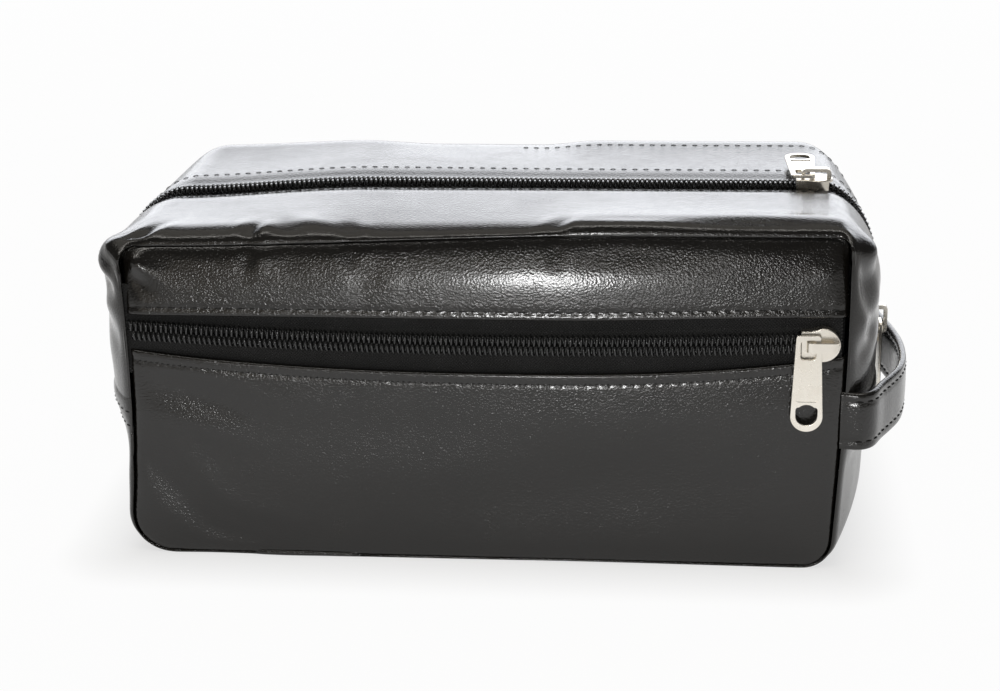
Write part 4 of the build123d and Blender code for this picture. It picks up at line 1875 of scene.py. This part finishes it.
    def _ramp(
        self, nodes: Nodes, source: bpy.types.NodeSocket, stops: tuple[tuple[float, float], ...]
    ) -> bpy.types.NodeSocket:
        """Grey ramp.

        Args:
            nodes: helper on the floor's tree.
            source: the output that runs along it.
            stops: place and brightness of each of its stops.

        Returns:
            Its colour.
        """
        ramp = nodes.add("ShaderNodeValToRGB")
        elements = ramp.color_ramp.elements
        (_, first), *others, (end, last) = stops
        elements[0].color = (first, first, first, 1.0)
        elements[1].position = end
        elements[1].color = (last, last, last, 1.0)
        for place, grey in others:
            elements.new(place).color = (grey, grey, grey, 1.0)
        nodes.join(source, ramp.inputs["Fac"])
        return ramp.outputs["Color"]

    def _camera(self) -> bpy.types.Object:
        """Camera at the photograph's place and angle.

        Returns:
            The new camera.
        """
        yaw, pitch, roll = (math.radians(value) for value in (self.yaw, self.pitch, self.roll))
        forward = Vector((math.sin(yaw) * math.cos(pitch), math.cos(yaw) * math.cos(pitch), -math.sin(pitch)))
        level = Vector((math.cos(yaw), -math.sin(yaw), 0.0))
        above = level.cross(forward)
        right = math.cos(roll) * level + math.sin(roll) * above
        up = -math.sin(roll) * level + math.cos(roll) * above
        lens = bpy.data.cameras.new("camera")
        lens.lens = self.lens
        lens.sensor_width = self.sensor
        lens.sensor_fit = "HORIZONTAL"
        lens.clip_start = 0.01
        camera = bpy.data.objects.new("camera", lens)
        axes = Matrix((right, up, -forward)).transposed().to_4x4()
        camera.matrix_world = Matrix.Translation(self.position) @ axes
        bpy.context.scene.collection.objects.link(camera)
        return camera


FOLDS = (
    # puckers across the front shoulder of the gusset, left to right
    Fold((-79.0, -60.0, 118.6), (0.25, 1.0, 0.35), (1.0, -0.25, 0.0), 7.0, 2.6, 1.5),
    Fold((-66.0, -57.0, 120.5), (-0.5, 1.0, 0.2), (1.0, 0.5, 0.0), 8.0, 4.5, 0.9),
    Fold((-44.0, -60.0, 119.4), (-0.2, 1.0, 0.3), (1.0, 0.2, 0.0), 6.0, 3.0, 1.0),
    Fold((28.0, -59.0, 121.0), (0.3, 1.0, 0.3), (1.0, -0.3, 0.0), 6.0, 2.8, 0.9),
    Fold((52.0, -60.0, 121.5), (1.0, 0.15, 0.0), (0.0, 1.0, 0.6), 22.0, 3.2, -0.8),
    Fold((95.0, -58.0, 121.5), (1.0, 0.1, -0.05), (0.0, 1.0, 0.5), 24.0, 4.0, 0.7),
    # bunched leather at the upper left corner
    Fold((-119.0, -59.0, 117.0), (0.6, 1.0, 0.2), (1.0, -0.6, -0.5), 9.0, 2.6, 2.4),
    Fold((-128.5, -60.0, 108.0), (0.2, 1.0, 0.0), (0.6, 0.0, 1.0), 9.0, 3.0, 2.6),
    Fold((-131.0, -54.0, 110.0), (0.1, 1.0, 0.0), (0.5, 0.0, 1.0), 9.0, 6.0, -4.0),
    Fold((-131.0, -54.0, 98.0), (0.0, 1.0, -0.3), (0.0, 0.3, 1.0), 12.0, 4.5, 1.6),
    Fold((-131.0, -52.0, 84.0), (0.0, 1.0, 0.4), (0.0, -0.4, 1.0), 14.0, 6.0, 1.2),
    # soft dents in the front
    Fold((-38.0, -66.0, 104.0), (0.35, 0.0, 1.0), (1.0, 0.0, -0.35), 9.0, 4.5, 0.18),
    Fold((20.0, -66.0, 99.0), (0.5, 0.0, 1.0), (1.0, 0.0, -0.5), 12.0, 7.0, 0.05),
    Fold((-98.0, -66.0, 60.0), (1.0, 0.0, -0.25), (0.25, 0.0, 1.0), 20.0, 6.0, 1.0),
    Fold((-109.0, -66.0, 26.0), (0.9, 0.0, -1.0), (1.0, 0.0, 0.9), 20.0, 5.5, 1.0),
    Fold((-84.0, -66.0, 8.0), (1.0, 0.0, -0.3), (0.3, 0.0, 1.0), 18.0, 5.0, 0.7),
    Fold((40.0, -66.0, 30.0), (1.0, 0.0, 0.1), (-0.1, 0.0, 1.0), 45.0, 14.0, 0.8),
    Fold((-20.0, -66.0, 52.0), (1.0, 0.0, 0.05), (-0.05, 0.0, 1.0), 50.0, 10.0, 0.5),
    # right end
    Fold((131.0, -56.0, 97.0), (0.3, 0.6, -1.0), (0.5, 1.0, 0.6), 16.0, 4.0, 1.3),
    Fold((132.0, -52.0, 84.0), (0.2, 1.0, 0.5), (0.0, -0.5, 1.0), 12.0, 4.5, 1.2),
    Fold((129.0, -60.0, 112.0), (0.5, 0.5, -1.0), (1.0, 0.0, 0.5), 7.0, 2.6, 1.4),
    Fold((131.0, -56.0, 113.0), (0.0, 1.0, 0.0), (-0.5, 0.0, 1.0), 8.0, 5.0, -2.5),
)


def main() -> None:
    """Build the bag's looks and the studio."""
    logging.basicConfig(level=logging.INFO)
    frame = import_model()
    finishes = Finishes()
    form = BagForm()
    creases = Creases(FOLDS)
    stitching = Stitching(material=finishes.thread)
    Studio().build()
    Bands(form, creases, finishes, Stitching(length=2.6, radius=0.13, material=finishes.thread)).build()
    front = FrontFace(form, creases, finishes, stitching)
    front.build()
    BackFace(form, creases, finishes).build()
    top_path = form.zip_path(drop=2.2)
    CoilZip("top_chain", top_path, (0.0, 1.0, 0.0), ("front", "back"), "main_zip", finishes).build()
    pocket_path = front.zip_path()
    CoilZip("pocket_chain", pocket_path, (0.0, 0.0, 1.0), ("lower", "upper"), "front_zip", finishes).build()
    Handle(finishes, stitching).build()
    Inside(form, finishes).build()
    Hardware(finishes).dress(frame["nodes"])


if __name__ == "__main__":
    main()
